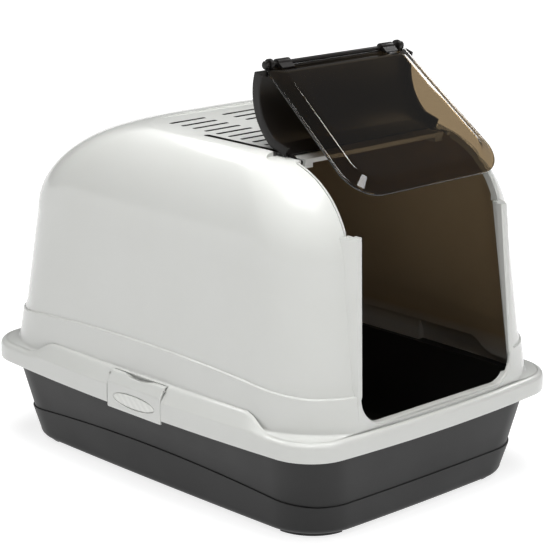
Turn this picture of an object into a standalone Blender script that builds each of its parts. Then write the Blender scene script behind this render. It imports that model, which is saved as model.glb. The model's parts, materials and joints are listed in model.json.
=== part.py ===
"""Hooded cat litter box: tray, lift-off hood, tip-up visor with a swing door, two side latches and a filter.

Metres, +Z up. The origin is on the floor under the middle of the box. The entrance faces -Y and the long sides
face -X and +X. The visor stands open and the door leans forward, as when the box is shown or cleaned.
"""

import math

import bmesh
import bpy
from mathutils import Vector

# ---- driving dimensions -------------------------------------------------------------------------------------
WIDTH = 0.500                 # over the hood's rim
LENGTH = 0.648                # over the hood's rim, front to back
ROOF_Z = 0.465                # top of the hood
RIM_Z = 0.118                 # lower edge of the hood's skirt
WALL = 0.0025                 # moulded wall of hood, tray and visor
GAP = 0.0003                  # between pieces that touch
CUT_MARGIN = 0.020            # how far a cutting body reaches past what it cuts

RIM_CORNER = 0.062            # corner radius of the rim
RIM_BOW_SIDE = 0.017          # how far the long sides swell past their corners
RIM_BOW_END = 0.015           # the same for the two ends
LEDGE_Z = 0.142               # top of the rim at the two ends
LEDGE_WIDTH = 0.0190          # from the rim's outer face in to the wall of the hood
SHOULDER_RISE = 0.019         # the rim is this much taller along the long sides
SHOULDER_HALF = 0.185         # half length of that taller stretch
SHOULDER_RAMP = 0.040         # length over which it runs out
RIM_ROUND = 0.008             # rounding of the rim's top edge
RIM_EDGE = ((0, 1, 0.55), (0.35, 0.35, 0.80), (1, 0, 1))  # its rings: inward, down, and share of the rise
SHOULDER_SLACK = 0.004        # inner face of the taller stretch below its outer face

WALL_CORNER = 0.095           # corner radius of the hood's wall
BOW_SIDE = 0.008
BOW_END = 0.010
END_INSET = 0.0095             # from the rim's outer face in to the wall at the two ends
LEAN_SIDE = 0.07              # how much the long sides lean in, per metre of height
LEAN_END = 0.12               # the same for the two ends
STEP_Z = 0.187                # height of the step in the wall at the two ends
STEP_ARCH = 0.016             # how much higher the step is in the middle of the long sides
STEP_DEPTH = 0.003            # the wall below the step stands proud by this
STEP_LEDGE = 0.0008           # height over which the step runs in
STEP_CLEAR = 0.045            # wall above the step with the same bow as below it
ROUND_HEIGHT = 0.140          # height over which the walls round into the roof
ROUND_SIDE = 0.065            # how far the long sides come in over that height
ROUND_END = 0.100             # the same for the two ends
BACK_FALL = 0.55              # share by which the back half of the outline draws in over that height
ROOF_CORNER = 0.128           # corner radius of the flat roof

TRAY_SIDE_INSET = 0.022       # rim to the tray's wall just below the flange, long sides
TRAY_END_INSET = 0.021        # the same for the ends
TRAY_BASE_Z = 0.004           # underside of the tray; its feet reach the floor
TRAY_TAPER_SIDE = 0.0255      # flange to base, long sides
TRAY_TAPER_END = 0.0165       # flange to base, ends
TRAY_GROOVE_Z = 0.045         # step round the tray's outer wall
TRAY_GROOVE_ARCH = 0.014
TRAY_GROOVE_DEPTH = 0.0018
TRAY_CORNER = 0.068
TRAY_BOW = 0.004              # how far the tray's four sides swell past its corners
TRAY_BOTTOM_ROUND = 0.010
TRAY_RIM_DROP = 0.009         # tray flange above the skirt's lower edge
FLANGE_CLEARANCE = 0.0013     # tray flange to the hood's skirt
SHELF_WIDTH = 0.0022          # the hood rests on this much of the flange
FOOT_INSET = 0.012            # a foot runs round each corner, this far in from the base's edge
FOOT_WIDTH = 0.012

NOTCH_DROP = 0.086            # roof top down to the ledge where the visor's cut-out ends
CUT_HALF = 0.1405             # half width of the visor's cut-out
CUT_BACK = 0.1006             # from the entrance frame's top back to the roof's front edge
DOORWAY_TOP_HALF = 0.1285     # half width of the doorway at the notch
DOORWAY_FLARE = 0.050         # how much it widens per metre of drop
SILL_Z = 0.148                # lower edge of the doorway
DOORWAY_CORNER = 0.034
FRAME_BORDER = 0.0100         # width of the flat face beside the doorway
FRAME_PROUD = 0.0086          # frame in front of the hood's wall at the notch
FRAME_LEAN = 0.081            # lean of the frame's face
FRAME_DEPTH = 0.022
FRAME_FOOT_BORDER = 0.0075    # width of the flat face beside the doorway, at its foot
FRAME_FOOT_DEPTH = 0.011
FRAME_SINK = 0.002            # the frame's foot reaches this far into the rim's ledge

PANEL_DROP = 0.008            # vent panel below the roof
PANEL_OVERHANG = 0.010        # vent panel past the flat of the roof, each side
PANEL_BACK_MARGIN = 0.094     # flat of the roof behind the vent panel
PANEL_FRONT_MARGIN = 0.003
PANEL_CORNER = 0.012
SLOT_WIDTH = 0.0038
SLOT_PITCH = 0.022
SLOT_COLUMNS = 3
SLOT_COLUMN_GAP = 0.032
SLOT_BACK_MARGIN = 0.037      # panel's back edge to the first row
SLOT_FRONT_MARGIN = 0.062
HAND_SLOT_WIDTH = 0.009
HAND_SLOT_LENGTH = 0.108
HAND_SLOT_EDGE = 0.010        # from the panel's edge
HAND_SLOT_FRONT = 0.032       # from the roof's front edge
GRILLE_MARGIN = 0.0175        # hand slot to the first column of slots

HINGE_BEHIND_LIP = 0.008      # visor axis behind the roof's front edge
HINGE_DEPTH = 0.005           # visor axis below the vent panel
LIP_DEPTH = 0.011             # turned-down front edge of the roof
VISOR_TRAVEL = 155.4          # degrees from open to shut
VISOR_RADIUS = 0.0815         # bend of the visor's shell
VISOR_CLEARANCE = 0.002       # visor to the sides of its cut-out
VISOR_SIDE_DEPTH = 0.012      # side walls of the visor
ROD_REACH_Y = 0.067           # from the visor axis back to the door's rod, visor open
ROD_REACH_Z = 0.110           # and up to it
ROD_RADIUS = 0.003
ROD_HALF = 0.1188             # half length of the rod between its knobs
ROD_TAIL = 0.001              # the rod reaches this far into each knob
KNOB_SOCKET = 0.0015          # depth of the knob's hole for it
KNOB_RADIUS = 0.0055
KNOB_LENGTH = 0.006
EAR_THICKNESS = 0.005
EAR_RADIUS = 0.0075
EAR_BRIDGE_HALF = 0.0035      # half height of the web from the ear to the shell
BEND_BACK = 0.0010            # front of the bend ahead of the rod, visor shut
BEND_BELOW = 0.004            # middle of the bend below the rod
BEND_START = 172              # direction of the shell's front edge from the middle of the bend, degrees
BEND_END = 101                # and of the end of its curve
BEND_STEPS = 12
ARM_X = 0.130                 # middle of each hinge arm
ARM_THICKNESS = 0.004
ARM_SLOT_BACK = 0.0235        # slots for the arms, behind the axis
ARM_SLOT_DEPTH = 0.013        # and down from the vent panel
ARM_HALF_HEIGHT = 0.0025      # half height of each hinge arm
ARM_LAP = 0.0245              # the arm reaches this far in front of the axis, into the shell
SHELL_LAP = 0.0235            # the shell ends this far in front of the axis
SHELL_RISE = 0.0012           # and this far above it
ARM_EYE_WALL = 0.001          # wall of the arm's end round the pin
HOOK_GAP = 0.002              # from the arm to the hook, and from the hook to the pin's end
HOOK_BELOW = 0.0065           # hook below the axis
HOOK_BACK = 0.007             # hook behind the axis
HINGE_PIN_RADIUS = 0.003
HINGE_PIN_REACH = 0.018       # from the arm inwards, through the hood's hook
RUNNING_CLEARANCE = 0.0005    # pin to bore

DOOR_ANGLE = 217.7            # direction of the leaning door from +Y towards +Z, degrees
DOOR_LENGTH = 0.222
DOOR_SIDE_CLEARANCE = 0.0020  # door to the doorway, each side
DOOR_TOP = 0.0075             # rod axis to the door's upper edge
DOOR_RAISE = 0.008            # the middle of the door stands proud of its rim
DOOR_BORDER = 0.020           # width of the sloping border
DOOR_STRIP = 0.022            # rod axis to the raised middle
DOOR_WALL = 0.0022
DOOR_CORNER = 0.045
CLIP_X = 0.094                # middle of each hinge clip
CLIP_WIDTH = 0.022
CLIP_WALL = 0.0026
CLIP_TAB = 0.0115             # rod axis to the end of the clip's tab
CLIP_TAB_LOW = 0.0022         # inner face of the tab, out from the door's rim plane
CLIP_TAB_HIGH = 0.0048        # and its outer face
WINDOW_LENGTH = 0.005         # hole below each clip, seen as a light spot
MIDDLE_CORNER_LESS = 0.012    # the raised middle's corners are this much tighter
FLARE_SHARE = 0.97            # part of the doorway's flare that a leaning length of door spans

LATCH_Y = -0.012              # middle of the latches
LATCH_LENGTH = 0.102
LATCH_GAP = 0.0008
LATCH_BOTTOM = 0.113
LATCH_TOP_DROP = 0.0005       # latch top below the shoulder's top
LATCH_WALL = 0.0028
LATCH_POCKET = 0.0145         # depth of its recess in the rim
LATCH_PIN_RADIUS = 0.0015
LATCH_PIN_IN = 0.0072         # pin's axis in from the rim's outer face
LATCH_PIN_DOWN = 0.0052       # pin's axis below the shoulder's top
LATCH_FACE_IN = 0.0006        # roundings of the latch's outer face
LATCH_FACE_UP = 0.002
LATCH_CHEST_UP = 0.006
LATCH_CHEST_IN = 0.003
LATCH_TOP_IN = 0.0085
LATCH_NOSE_GAP = 0.0005       # nose outside the edge of the tray's flange
LATCH_NOSE_DROP = 0.002       # nose below the flange
BOSS_WALL = 0.0018            # wall round the pin
BOSS_LENGTH = 0.008
INLAY_LENGTH = 0.079
INLAY_HEIGHT = 0.017
INLAY_DEPTH = 0.0012
INLAY_Z = 0.1295
INLAY_GAP = 0.0006            # groove round the inlay

HOLDER_MARGIN = 0.006         # filter holder past the slots
HOLDER_HEIGHT = 0.0075
HOLDER_WALL = 0.0018
HOLDER_BAR = 0.006            # bars of the holder's open grid
RAIL_WALL = 0.0025
RAIL_FOOT = 0.004
HOLDER_OPENINGS = (4, 3)      # openings of its grid across and along
GRIP_HALF = 0.020             # half width of the holder's finger grip
GRIP_REACH = 0.006
GRIP_HEIGHT = 0.003
FILTER_CLEARANCE = 0.0010

SIDE_STEPS = 5                # segments along half a long side
CORNER_STEPS = 7
END_STEPS = 5
ROUND_STEPS = 6               # rings over the rounding into the roof
SIDE_SHARE = 0.6              # points further out than this share of the half width belong to a long side
ARCH_SHARE = 0.88             # the arches of step and groove fall to nothing at this share of the half length

# ---- worked out from the driving dimensions -----------------------------------------------------------------
RIM_A = WIDTH / 2
RIM_B = LENGTH / 2
BAND_A = RIM_A - LEDGE_WIDTH
BAND_B = RIM_B - END_INSET
SPRING_Z = ROOF_Z - ROUND_HEIGHT
NOTCH_Z = ROOF_Z - NOTCH_DROP
PANEL_Z = ROOF_Z - PANEL_DROP
FLANGE_Z = RIM_Z + TRAY_RIM_DROP
SHELF_A = RIM_A - WALL - FLANGE_CLEARANCE - SHELF_WIDTH


def remove_everything():
    for thing in list(bpy.data.objects):
        bpy.data.objects.remove(thing, do_unlink=True)


# ---- outlines -----------------------------------------------------------------------------------------------
def arc(cx, cy, radius, start, end, steps):
    """Points on an arc, without its last one."""
    return [(cx + radius * math.cos(start + (end - start) * i / steps),
             cy + radius * math.sin(start + (end - start) * i / steps)) for i in range(steps)]


def bowed_outline(a, b, corner, bow_side, bow_end):
    """Rounded rectangle whose four sides are shallow arcs; a and b are its half sizes at mid side."""
    side_r = (b * b + bow_side * bow_side) / (2 * bow_side)
    end_r = (a * a + bow_end * bow_end) / (2 * bow_end)
    side_c = a - side_r
    end_c = b - end_r
    reach_side = side_r - corner
    reach_end = end_r - corner
    apart = math.hypot(side_c, end_c)
    along = (reach_side ** 2 - reach_end ** 2 + apart ** 2) / (2 * apart)
    across = math.sqrt(max(reach_side ** 2 - along ** 2, 0.0))
    ex, ey = -side_c / apart, end_c / apart
    cx = side_c + ex * along + ey * across
    cy = ey * along - ex * across
    if cx < 0 or cy < 0:
        cx = side_c + ex * along - ey * across
        cy = ey * along + ex * across
    first = math.atan2(cy, cx - side_c)
    second = math.atan2(cy - end_c, cx)
    quarter = arc(side_c, 0, side_r, 0, first, SIDE_STEPS)
    quarter += arc(cx, cy, corner, first, second, CORNER_STEPS)
    quarter += arc(0, end_c, end_r, second, math.pi / 2, END_STEPS)
    turned = [(-x, y) for x, y in quarter[::-1]]
    top = (0.0, b)
    left = (-a, 0.0)
    half = quarter + [top] + turned[:-1]
    return half + [left] + [(-x, -y) for x, y in half[1:]]


def smooth(t):
    t = min(max(t, 0.0), 1.0)
    return t * t * (3 - 2 * t)


def shoulder(x, y, a):
    """1 along the taller stretch of the rim on the long sides, 0 at the ends."""
    if abs(x) < SIDE_SHARE * a:
        return 0.0
    return smooth((SHOULDER_HALF + SHOULDER_RAMP - abs(y - LATCH_Y)) / SHOULDER_RAMP)


def side_arch(x, y, a, b):
    """1 in the middle of the long sides, falling to 0 towards the corners and ends."""
    if abs(x) < SIDE_SHARE * a:
        return 0.0
    return max(0.0, 1 - (y / (ARCH_SHARE * b)) ** 2)


def roof_turn(z):
    """How far the wall has rounded over at height z: 0 where it springs, 1 at the roof, along a quarter ellipse."""
    if z <= SPRING_Z:
        return 0.0
    return 1 - math.sqrt(max(0.0, 1 - ((z - SPRING_Z) / ROUND_HEIGHT) ** 2))


def wall_size(z):
    """Half sizes, corner radius and bow of the hood's wall above the step at height z."""
    up = min(z, SPRING_Z) - LEDGE_Z
    turn = roof_turn(z)
    a = BAND_A - STEP_DEPTH - LEAN_SIDE * up - ROUND_SIDE * turn
    b = BAND_B - STEP_DEPTH - LEAN_END * up - ROUND_END * turn
    corner = WALL_CORNER + (ROOF_CORNER - WALL_CORNER) * turn
    fade = 1 - 0.9 * turn
    return a, b, corner, BOW_SIDE * fade, BOW_END * fade


# ---- mesh helpers -------------------------------------------------------------------------------------------
def material(name, colour, roughness, metallic=0.0, alpha=1.0):
    made = bpy.data.materials.get(name) or bpy.data.materials.new(name)
    made.use_nodes = True
    shader = made.node_tree.nodes["Principled BSDF"]
    shader.inputs["Base Color"].default_value = (*colour, 1.0)
    shader.inputs["Roughness"].default_value = roughness
    shader.inputs["Metallic"].default_value = metallic
    shader.inputs["Alpha"].default_value = alpha
    return made


def new_object(name, bm, finish=None, place=(0, 0, 0), parent=None):
    """Object with its origin at place; the mesh is given in world coordinates."""
    bmesh.ops.recalc_face_normals(bm, faces=bm.faces)
    bmesh.ops.translate(bm, verts=bm.verts, vec=-Vector(place))
    mesh = bpy.data.meshes.new(name)
    bm.to_mesh(mesh)
    bm.free()
    made = bpy.data.objects.new(name, mesh)
    bpy.context.collection.objects.link(made)
    made.location = place
    if parent is not None:
        made.parent = parent
        made.location = Vector(place) - parent.location
    if finish is not None:
        mesh.materials.append(finish)
        mesh.shade_smooth()
        mesh.set_sharp_from_angle(angle=math.radians(35))
    return made


def empty(name, place):
    """Pivot with its origin on a moving piece's axis."""
    made = bpy.data.objects.new(name, None)
    bpy.context.collection.objects.link(made)
    made.location = place
    return made


def loft(rings):
    """Closed body through rings with equal point counts, capped at both ends."""
    bm = bmesh.new()
    rows = [[bm.verts.new(p) for p in ring] for ring in rings]
    count = len(rows[0])
    for low, high in zip(rows, rows[1:]):
        for i in range(count):
            bm.faces.new((low[i], low[(i + 1) % count], high[(i + 1) % count], high[i]))
    bm.faces.new(rows[0][::-1])
    bm.faces.new(rows[-1])
    return bm


def prism(outline, axis, low, high):
    """Straight body between two planes across the axis (0, 1 or 2); outline holds the other two coordinates."""
    def level(w):
        return [(*p[:axis], w, *p[axis:]) for p in outline]
    return loft([level(low), level(high)])


def prism_across(outline, way, near, far):
    """Straight body along X between two distances from the middle, on the side given by way (-1 or 1)."""
    return prism(outline, 0, *sorted((way * near, way * far)))


def block(x0, x1, y0, y1, z0, z1):
    return prism([(x0, y0), (x1, y0), (x1, y1), (x0, y1)], 2, z0, z1)


def side_block(way, near, far, y0, y1, z0, z1):
    """Block between two distances from the middle along X, on the side given by way (-1 or 1)."""
    x0, x1 = sorted((way * near, way * far))
    return block(x0, x1, y0, y1, z0, z1)


def circle(cx, cy, radius, steps=16):
    return arc(cx, cy, radius, 0, 2 * math.pi, steps)


def round_box_outline(x0, x1, y0, y1, radius, steps=4):
    quarter = math.pi / 2
    points = []
    for turn, (cx, cy) in enumerate(((x1 - radius, y1 - radius), (x0 + radius, y1 - radius),
                                     (x0 + radius, y0 + radius), (x1 - radius, y0 + radius))):
        points += arc(cx, cy, radius, turn * quarter, (turn + 1 + 1 / steps) * quarter, steps + 1)
    return points


def hide(guide):
    guide.hide_render = True
    guide.display_type = "WIRE"
    guide.hide_set(True)
    return guide


def combine(target, bm, operation):
    """Adds an exact Boolean of the given kind with a hidden helper body."""
    helper = hide(new_object(target.name + "_" + operation.lower(), bm))
    combine_with(target, helper, operation)


def combine_with(target, helper, operation):
    step = target.modifiers.new(operation.title(), "BOOLEAN")
    step.operation = operation
    step.solver = "EXACT"
    step.object = helper


def cut(target, bm):
    combine(target, bm, "DIFFERENCE")


def add(target, bm):
    combine(target, bm, "UNION")


# ---- tray ---------------------------------------------------------------------------------------------------
def tray_sections(inward):
    """Rings of the tray's wall from the base up to the flange, moved inwards by the wall when asked."""
    top_a = RIM_A - TRAY_SIDE_INSET - inward
    top_b = RIM_B - TRAY_END_INSET - inward
    base_a = top_a - TRAY_TAPER_SIDE
    base_b = top_b - TRAY_TAPER_END
    base_z = TRAY_BASE_Z + inward

    def ring(a, b, z, arch=0.0):
        outline = bowed_outline(a, b, TRAY_CORNER - inward, TRAY_BOW, TRAY_BOW)
        return [(x, y, z + arch * side_arch(x, y, a, b)) for x, y in outline]

    groove = (TRAY_GROOVE_Z - base_z) / (FLANGE_Z - base_z)
    groove_a = base_a + (top_a - base_a) * groove
    groove_b = base_b + (top_b - base_b) * groove
    round_r = TRAY_BOTTOM_ROUND
    rings = []
    for i in range(3):
        t = math.pi / 2 * i / 2
        inset = round_r * (1 - math.sin(t)) + TRAY_GROOVE_DEPTH
        rings.append(ring(base_a - inset, base_b - inset, base_z + round_r * (1 - math.cos(t))))
    lower = TRAY_GROOVE_DEPTH
    rings.append(ring(groove_a - lower, groove_b - lower, TRAY_GROOVE_Z, TRAY_GROOVE_ARCH))
    rings.append(ring(groove_a, groove_b, TRAY_GROOVE_Z + TRAY_GROOVE_DEPTH, TRAY_GROOVE_ARCH))
    rings.append(ring(top_a, top_b, FLANGE_Z - WALL))
    return rings


def make_tray():
    finish = material("tray_polypropylene", (0.060, 0.061, 0.062), 0.45)
    flange_a = RIM_A - WALL - FLANGE_CLEARANCE
    flange_b = RIM_B - WALL - FLANGE_CLEARANCE
    inset = WALL + FLANGE_CLEARANCE
    flange = bowed_outline(flange_a, flange_b, RIM_CORNER - inset, RIM_BOW_SIDE, RIM_BOW_END)
    outer = tray_sections(0.0)
    outer.append([(x, y, FLANGE_Z - WALL) for x, y in flange])
    outer.append([(x, y, FLANGE_Z) for x, y in flange])
    inner = tray_sections(WALL)
    inner[-1] = [(x, y, FLANGE_Z) for x, y, _ in inner[-1]]
    tray = new_object("tray", loft(outer + inner[::-1]), finish)
    base_a = RIM_A - TRAY_SIDE_INSET - TRAY_TAPER_SIDE - FOOT_INSET
    base_b = RIM_B - TRAY_END_INSET - TRAY_TAPER_END - FOOT_INSET
    outside = bowed_outline(base_a, base_b, TRAY_CORNER - FOOT_INSET, TRAY_BOW, TRAY_BOW)
    inside = bowed_outline(base_a - FOOT_WIDTH, base_b - FOOT_WIDTH, TRAY_CORNER - FOOT_INSET - FOOT_WIDTH,
                           TRAY_BOW, TRAY_BOW)
    quarter = SIDE_STEPS + CORNER_STEPS + END_STEPS
    for corner in range(4):
        first = corner * quarter + (SIDE_STEPS if corner % 2 == 0 else END_STEPS)
        picks = [(first + i) % len(outside) for i in range(CORNER_STEPS + 1)]
        outline = [outside[i] for i in picks] + [inside[i] for i in picks[::-1]]
        add(tray, prism(outline, 2, 0.0, TRAY_BASE_Z + WALL / 2))


# ---- hood ---------------------------------------------------------------------------------------------------
def hood_sections(inward):
    """Rings of the hood from the skirt up over the walls to the roof, for the outer or the inner surface."""
    rings = []

    def rim_ring(inset, z, rise=0.0):
        a = RIM_A - inward - inset
        b = RIM_B - inward - inset
        outline = bowed_outline(a, b, RIM_CORNER - inward - inset / 2, RIM_BOW_SIDE, RIM_BOW_END)
        rings.append([(x, y, z + rise * shoulder(x, y, a)) for x, y in outline])

    def band_ring(inset, z, rise=0.0, arch=0.0):
        up = z - LEDGE_Z
        a = BAND_A - inset - inward - LEAN_SIDE * up
        b = BAND_B - inset - inward - LEAN_END * up
        outline = bowed_outline(a, b, WALL_CORNER - inward, BOW_SIDE, BOW_END)
        rings.append([(x, y, z + rise * shoulder(x, y, a) + arch * side_arch(x, y, a, b)) for x, y in outline])

    if inward:
        rim_ring(0, RIM_Z - WALL)
        rim_ring(0, FLANGE_Z + GAP)
        rim_ring(RIM_A - inward - SHELF_A, FLANGE_Z + GAP)
        rim_ring(RIM_A - inward - SHELF_A, LEDGE_Z - inward, SHOULDER_RISE - SHOULDER_SLACK)
    else:
        rim_ring(0, RIM_Z)
        for inset, drop, rise in RIM_EDGE:
            rim_ring(inset * RIM_ROUND, LEDGE_Z - drop * RIM_ROUND, rise * SHOULDER_RISE)
    band_ring(0, LEDGE_Z - inward, SHOULDER_RISE)
    band_ring(0, STEP_Z - inward, 0, STEP_ARCH)
    band_ring(STEP_DEPTH, STEP_Z - inward + STEP_LEDGE, 0, STEP_ARCH)
    levels = [STEP_Z + STEP_CLEAR, SPRING_Z]
    for i in range(1, ROUND_STEPS + 1):
        levels.append(SPRING_Z + ROUND_HEIGHT * math.sin(math.pi / 2 * i / ROUND_STEPS))
    for z in levels:
        a, b, corner, bow_side, bow_end = wall_size(z)
        outline = bowed_outline(a - inward, b - inward, corner - inward, bow_side, bow_end)
        low = z - inward * max(0.0, (z - SPRING_Z) / ROUND_HEIGHT)
        drawn = 1 - BACK_FALL * roof_turn(z)
        drawn -= inward * (1 - drawn) / b
        rings.append([(x, y * drawn if y > 0 else y, low) for x, y in outline])
    return rings


def frame_face(z):
    """y of the entrance frame's face at height z."""
    b = wall_size(NOTCH_Z)[1]
    return -(b + FRAME_PROUD) - FRAME_LEAN * (NOTCH_Z - z)


def lip_y():
    """y of the roof's front edge, where the visor's cut-out ends."""
    return frame_face(NOTCH_Z) + CUT_BACK


def doorway_half(z):
    return DOORWAY_TOP_HALF + DOORWAY_FLARE * (NOTCH_Z - z)


def doorway_outline():
    """Doorway seen from the front: open at the top, with rounded lower corners."""
    half = doorway_half(SILL_Z)
    radius = DOORWAY_CORNER
    right = arc(half - radius, SILL_Z + radius, radius, -math.pi / 2, 0, CORNER_STEPS)
    right.append((doorway_half(SILL_Z + radius), SILL_Z + radius))
    right.append((doorway_half(NOTCH_Z), NOTCH_Z + GAP))
    return right + [(-x, z) for x, z in right[::-1]]


def panel_size():
    """Half width, front and back of the vent panel."""
    a, b = wall_size(ROOF_Z)[:2]
    return a + PANEL_OVERHANG, lip_y() + PANEL_FRONT_MARGIN, b - PANEL_BACK_MARGIN


def grille_size():
    """Half width of the slots, and the rows' places along Y."""
    half, front, back = panel_size()
    grille = half - HAND_SLOT_EDGE - HAND_SLOT_WIDTH - GRILLE_MARGIN
    first = back - SLOT_BACK_MARGIN
    count = int((first - front - SLOT_FRONT_MARGIN) / SLOT_PITCH) + 1
    return grille, [first - SLOT_PITCH * i for i in range(count)]


def hinge_place():
    """y and z of the visor's axis."""
    return lip_y() + HINGE_BEHIND_LIP, PANEL_Z - HINGE_DEPTH


def latch_profile():
    """Outer face of the latch as x (outward) and z, from its lower edge to its top."""
    top = LEDGE_Z + SHOULDER_RISE - LATCH_TOP_DROP
    return [(RIM_A - LATCH_FACE_IN, LATCH_BOTTOM), (RIM_A, LATCH_BOTTOM + LATCH_FACE_UP), (RIM_A, LEDGE_Z),
            (RIM_A - LATCH_CHEST_IN, LEDGE_Z + LATCH_CHEST_UP), (RIM_A - LATCH_TOP_IN, top)]


def latch_axis():
    """Distance from the middle and height of a latch's pin."""
    return RIM_A - LATCH_PIN_IN, LEDGE_Z + SHOULDER_RISE - LATCH_PIN_DOWN


def make_hood():
    finish = material("hood_polypropylene", (0.86, 0.865, 0.85), 0.30)
    hood = new_object("hood", loft(hood_sections(0.0)), finish)
    cavity = hide(new_object("hood_cavity", loft(hood_sections(WALL))))
    sink_panel(hood, cavity)
    sink_latch_pockets(hood, cavity)
    combine_with(hood, cavity, "DIFFERENCE")
    add_entrance(hood)
    add_hinge_hooks(hood)
    cut_vents(hood)
    for way in (-1, 1):
        add_rail(hood, way)
        pin_x, pin_z = latch_axis()
        reach = LATCH_LENGTH / 2 + LATCH_GAP + WALL + GAP
        bore = circle(way * pin_x, pin_z, LATCH_PIN_RADIUS + RUNNING_CLEARANCE, 12)
        cut(hood, prism(bore, 1, LATCH_Y - reach, LATCH_Y + reach))


def sink_panel(hood, cavity):
    """Lowers the vent panel into the roof, with a channel as wide as the visor in front of it."""
    half, front, back = panel_size()
    high = ROOF_Z + CUT_MARGIN
    outline = round_box_outline(-half, half, front, back, PANEL_CORNER)
    wide = round_box_outline(-half - WALL, half + WALL, front - WALL, back + WALL, PANEL_CORNER + WALL)
    cut(hood, prism(outline, 2, PANEL_Z, high))
    cut(cavity, prism(wide, 2, PANEL_Z - WALL, high))
    start = lip_y() - CUT_MARGIN / 2
    cut(hood, block(-CUT_HALF, CUT_HALF, start, front + PANEL_CORNER, PANEL_Z, high))
    cut(cavity, block(-CUT_HALF - WALL, CUT_HALF + WALL, start - CUT_MARGIN / 2, front + PANEL_CORNER,
                      PANEL_Z - WALL, high))


def sink_latch_pockets(hood, cavity):
    floor = RIM_A - LATCH_POCKET
    outside = RIM_A + CUT_MARGIN
    reach = LATCH_LENGTH / 2 + LATCH_GAP
    high = LEDGE_Z + SHOULDER_RISE + CUT_MARGIN
    for way in (-1, 1):
        cut(hood, side_block(way, floor, outside, LATCH_Y - reach, LATCH_Y + reach, RIM_Z - CUT_MARGIN, high))
        cut(cavity, side_block(way, floor - WALL, outside, LATCH_Y - reach - WALL, LATCH_Y + reach + WALL,
                               FLANGE_Z + GAP, high))


def frame_plate(low, high, low_half, high_half, low_y, high_y):
    """Body across the entrance that follows the frame's flare; low_y and high_y are its front and back in y."""
    return loft([[(-half, y[0], z), (half, y[0], z), (half, y[1], z), (-half, y[1], z)]
                 for z, half, y in ((low, low_half, low_y), (high, high_half, high_y))])


def add_entrance(hood):
    """The leaning frame round the doorway, the doorway itself and the cut-out for the visor above it."""
    top_y = frame_face(NOTCH_Z)
    foot_y = frame_face(LEDGE_Z)
    top_half = DOORWAY_TOP_HALF + FRAME_BORDER
    foot_half = doorway_half(LEDGE_Z) + FRAME_FOOT_BORDER
    add(hood, frame_plate(LEDGE_Z - FRAME_SINK, NOTCH_Z, foot_half, top_half,
                          (foot_y, foot_y + FRAME_FOOT_DEPTH), (top_y, top_y + FRAME_DEPTH)))
    cut(hood, frame_plate(LEDGE_Z, NOTCH_Z + GAP, foot_half, top_half,
                          (foot_y - CUT_MARGIN, foot_y), (top_y - CUT_MARGIN, top_y)))
    cut(hood, prism(doorway_outline(), 1, foot_y - CUT_MARGIN, lip_y() - CUT_MARGIN))
    cut(hood, block(-CUT_HALF, CUT_HALF, -RIM_B, lip_y(), NOTCH_Z, ROOF_Z + CUT_MARGIN))


def add_hinge_hooks(hood):
    """Turned-down front edge of the roof, with hooks for the visor's pins and slots for its arms."""
    lip = lip_y()
    under = PANEL_Z - WALL / 2
    add(hood, block(-CUT_HALF - WALL / 2, CUT_HALF + WALL / 2, lip, lip + WALL, PANEL_Z - LIP_DEPTH, under))
    axis_y, axis_z = hinge_place()
    inner = ARM_X - ARM_THICKNESS / 2 - HINGE_PIN_REACH + HOOK_GAP
    outer = ARM_X - ARM_THICKNESS / 2 - HOOK_GAP
    bore = circle(axis_y, axis_z, HINGE_PIN_RADIUS + RUNNING_CLEARANCE)
    for way in (-1, 1):
        add(hood, side_block(way, inner, outer, lip + WALL / 2, axis_y + HOOK_BACK, axis_z - HOOK_BELOW, under))
        cut(hood, prism_across(bore, way, inner - HOOK_GAP, outer + HOOK_GAP))
        cut(hood, side_block(way, ARM_X - ARM_THICKNESS, ARM_X + ARM_THICKNESS, lip - CUT_MARGIN / 2,
                             axis_y + ARM_SLOT_BACK, PANEL_Z - ARM_SLOT_DEPTH, ROOF_Z))


def cut_vents(hood):
    """Three columns of slots, and a hand slot on each side of them."""
    grille, rows = grille_size()
    length = (2 * grille - (SLOT_COLUMNS - 1) * SLOT_COLUMN_GAP) / SLOT_COLUMNS
    low = PANEL_Z - WALL * 2
    for column in range(SLOT_COLUMNS):
        x0 = -grille + column * (length + SLOT_COLUMN_GAP)
        for y in rows:
            cut(hood, block(x0, x0 + length, y - SLOT_WIDTH / 2, y + SLOT_WIDTH / 2, low, ROOF_Z))
    outer = panel_size()[0] - HAND_SLOT_EDGE
    inner = outer - HAND_SLOT_WIDTH
    front = lip_y() + HAND_SLOT_FRONT
    for way in (-1, 1):
        x0, x1 = sorted((way * inner, way * outer))
        outline = round_box_outline(x0, x1, front, front + HAND_SLOT_LENGTH, HAND_SLOT_WIDTH / 2 - GAP, 3)
        cut(hood, prism(outline, 2, low, ROOF_Z))


def add_rail(hood, way):
    """Rail under the roof in which one edge of the filter holder slides."""
    grille, rows = grille_size()
    edge = grille + HOLDER_MARGIN
    front = rows[-1] - HOLDER_MARGIN
    back = rows[0] + HOLDER_MARGIN
    floor = PANEL_Z - WALL - HOLDER_HEIGHT - 2 * GAP
    under = PANEL_Z - WALL / 2
    add(hood, side_block(way, edge + GAP, edge + GAP + RAIL_WALL, front, back, floor - RAIL_WALL, under))
    add(hood, side_block(way, edge - RAIL_FOOT, edge + GAP + RAIL_WALL / 2, front, back, floor - RAIL_WALL,
                         floor))


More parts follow.
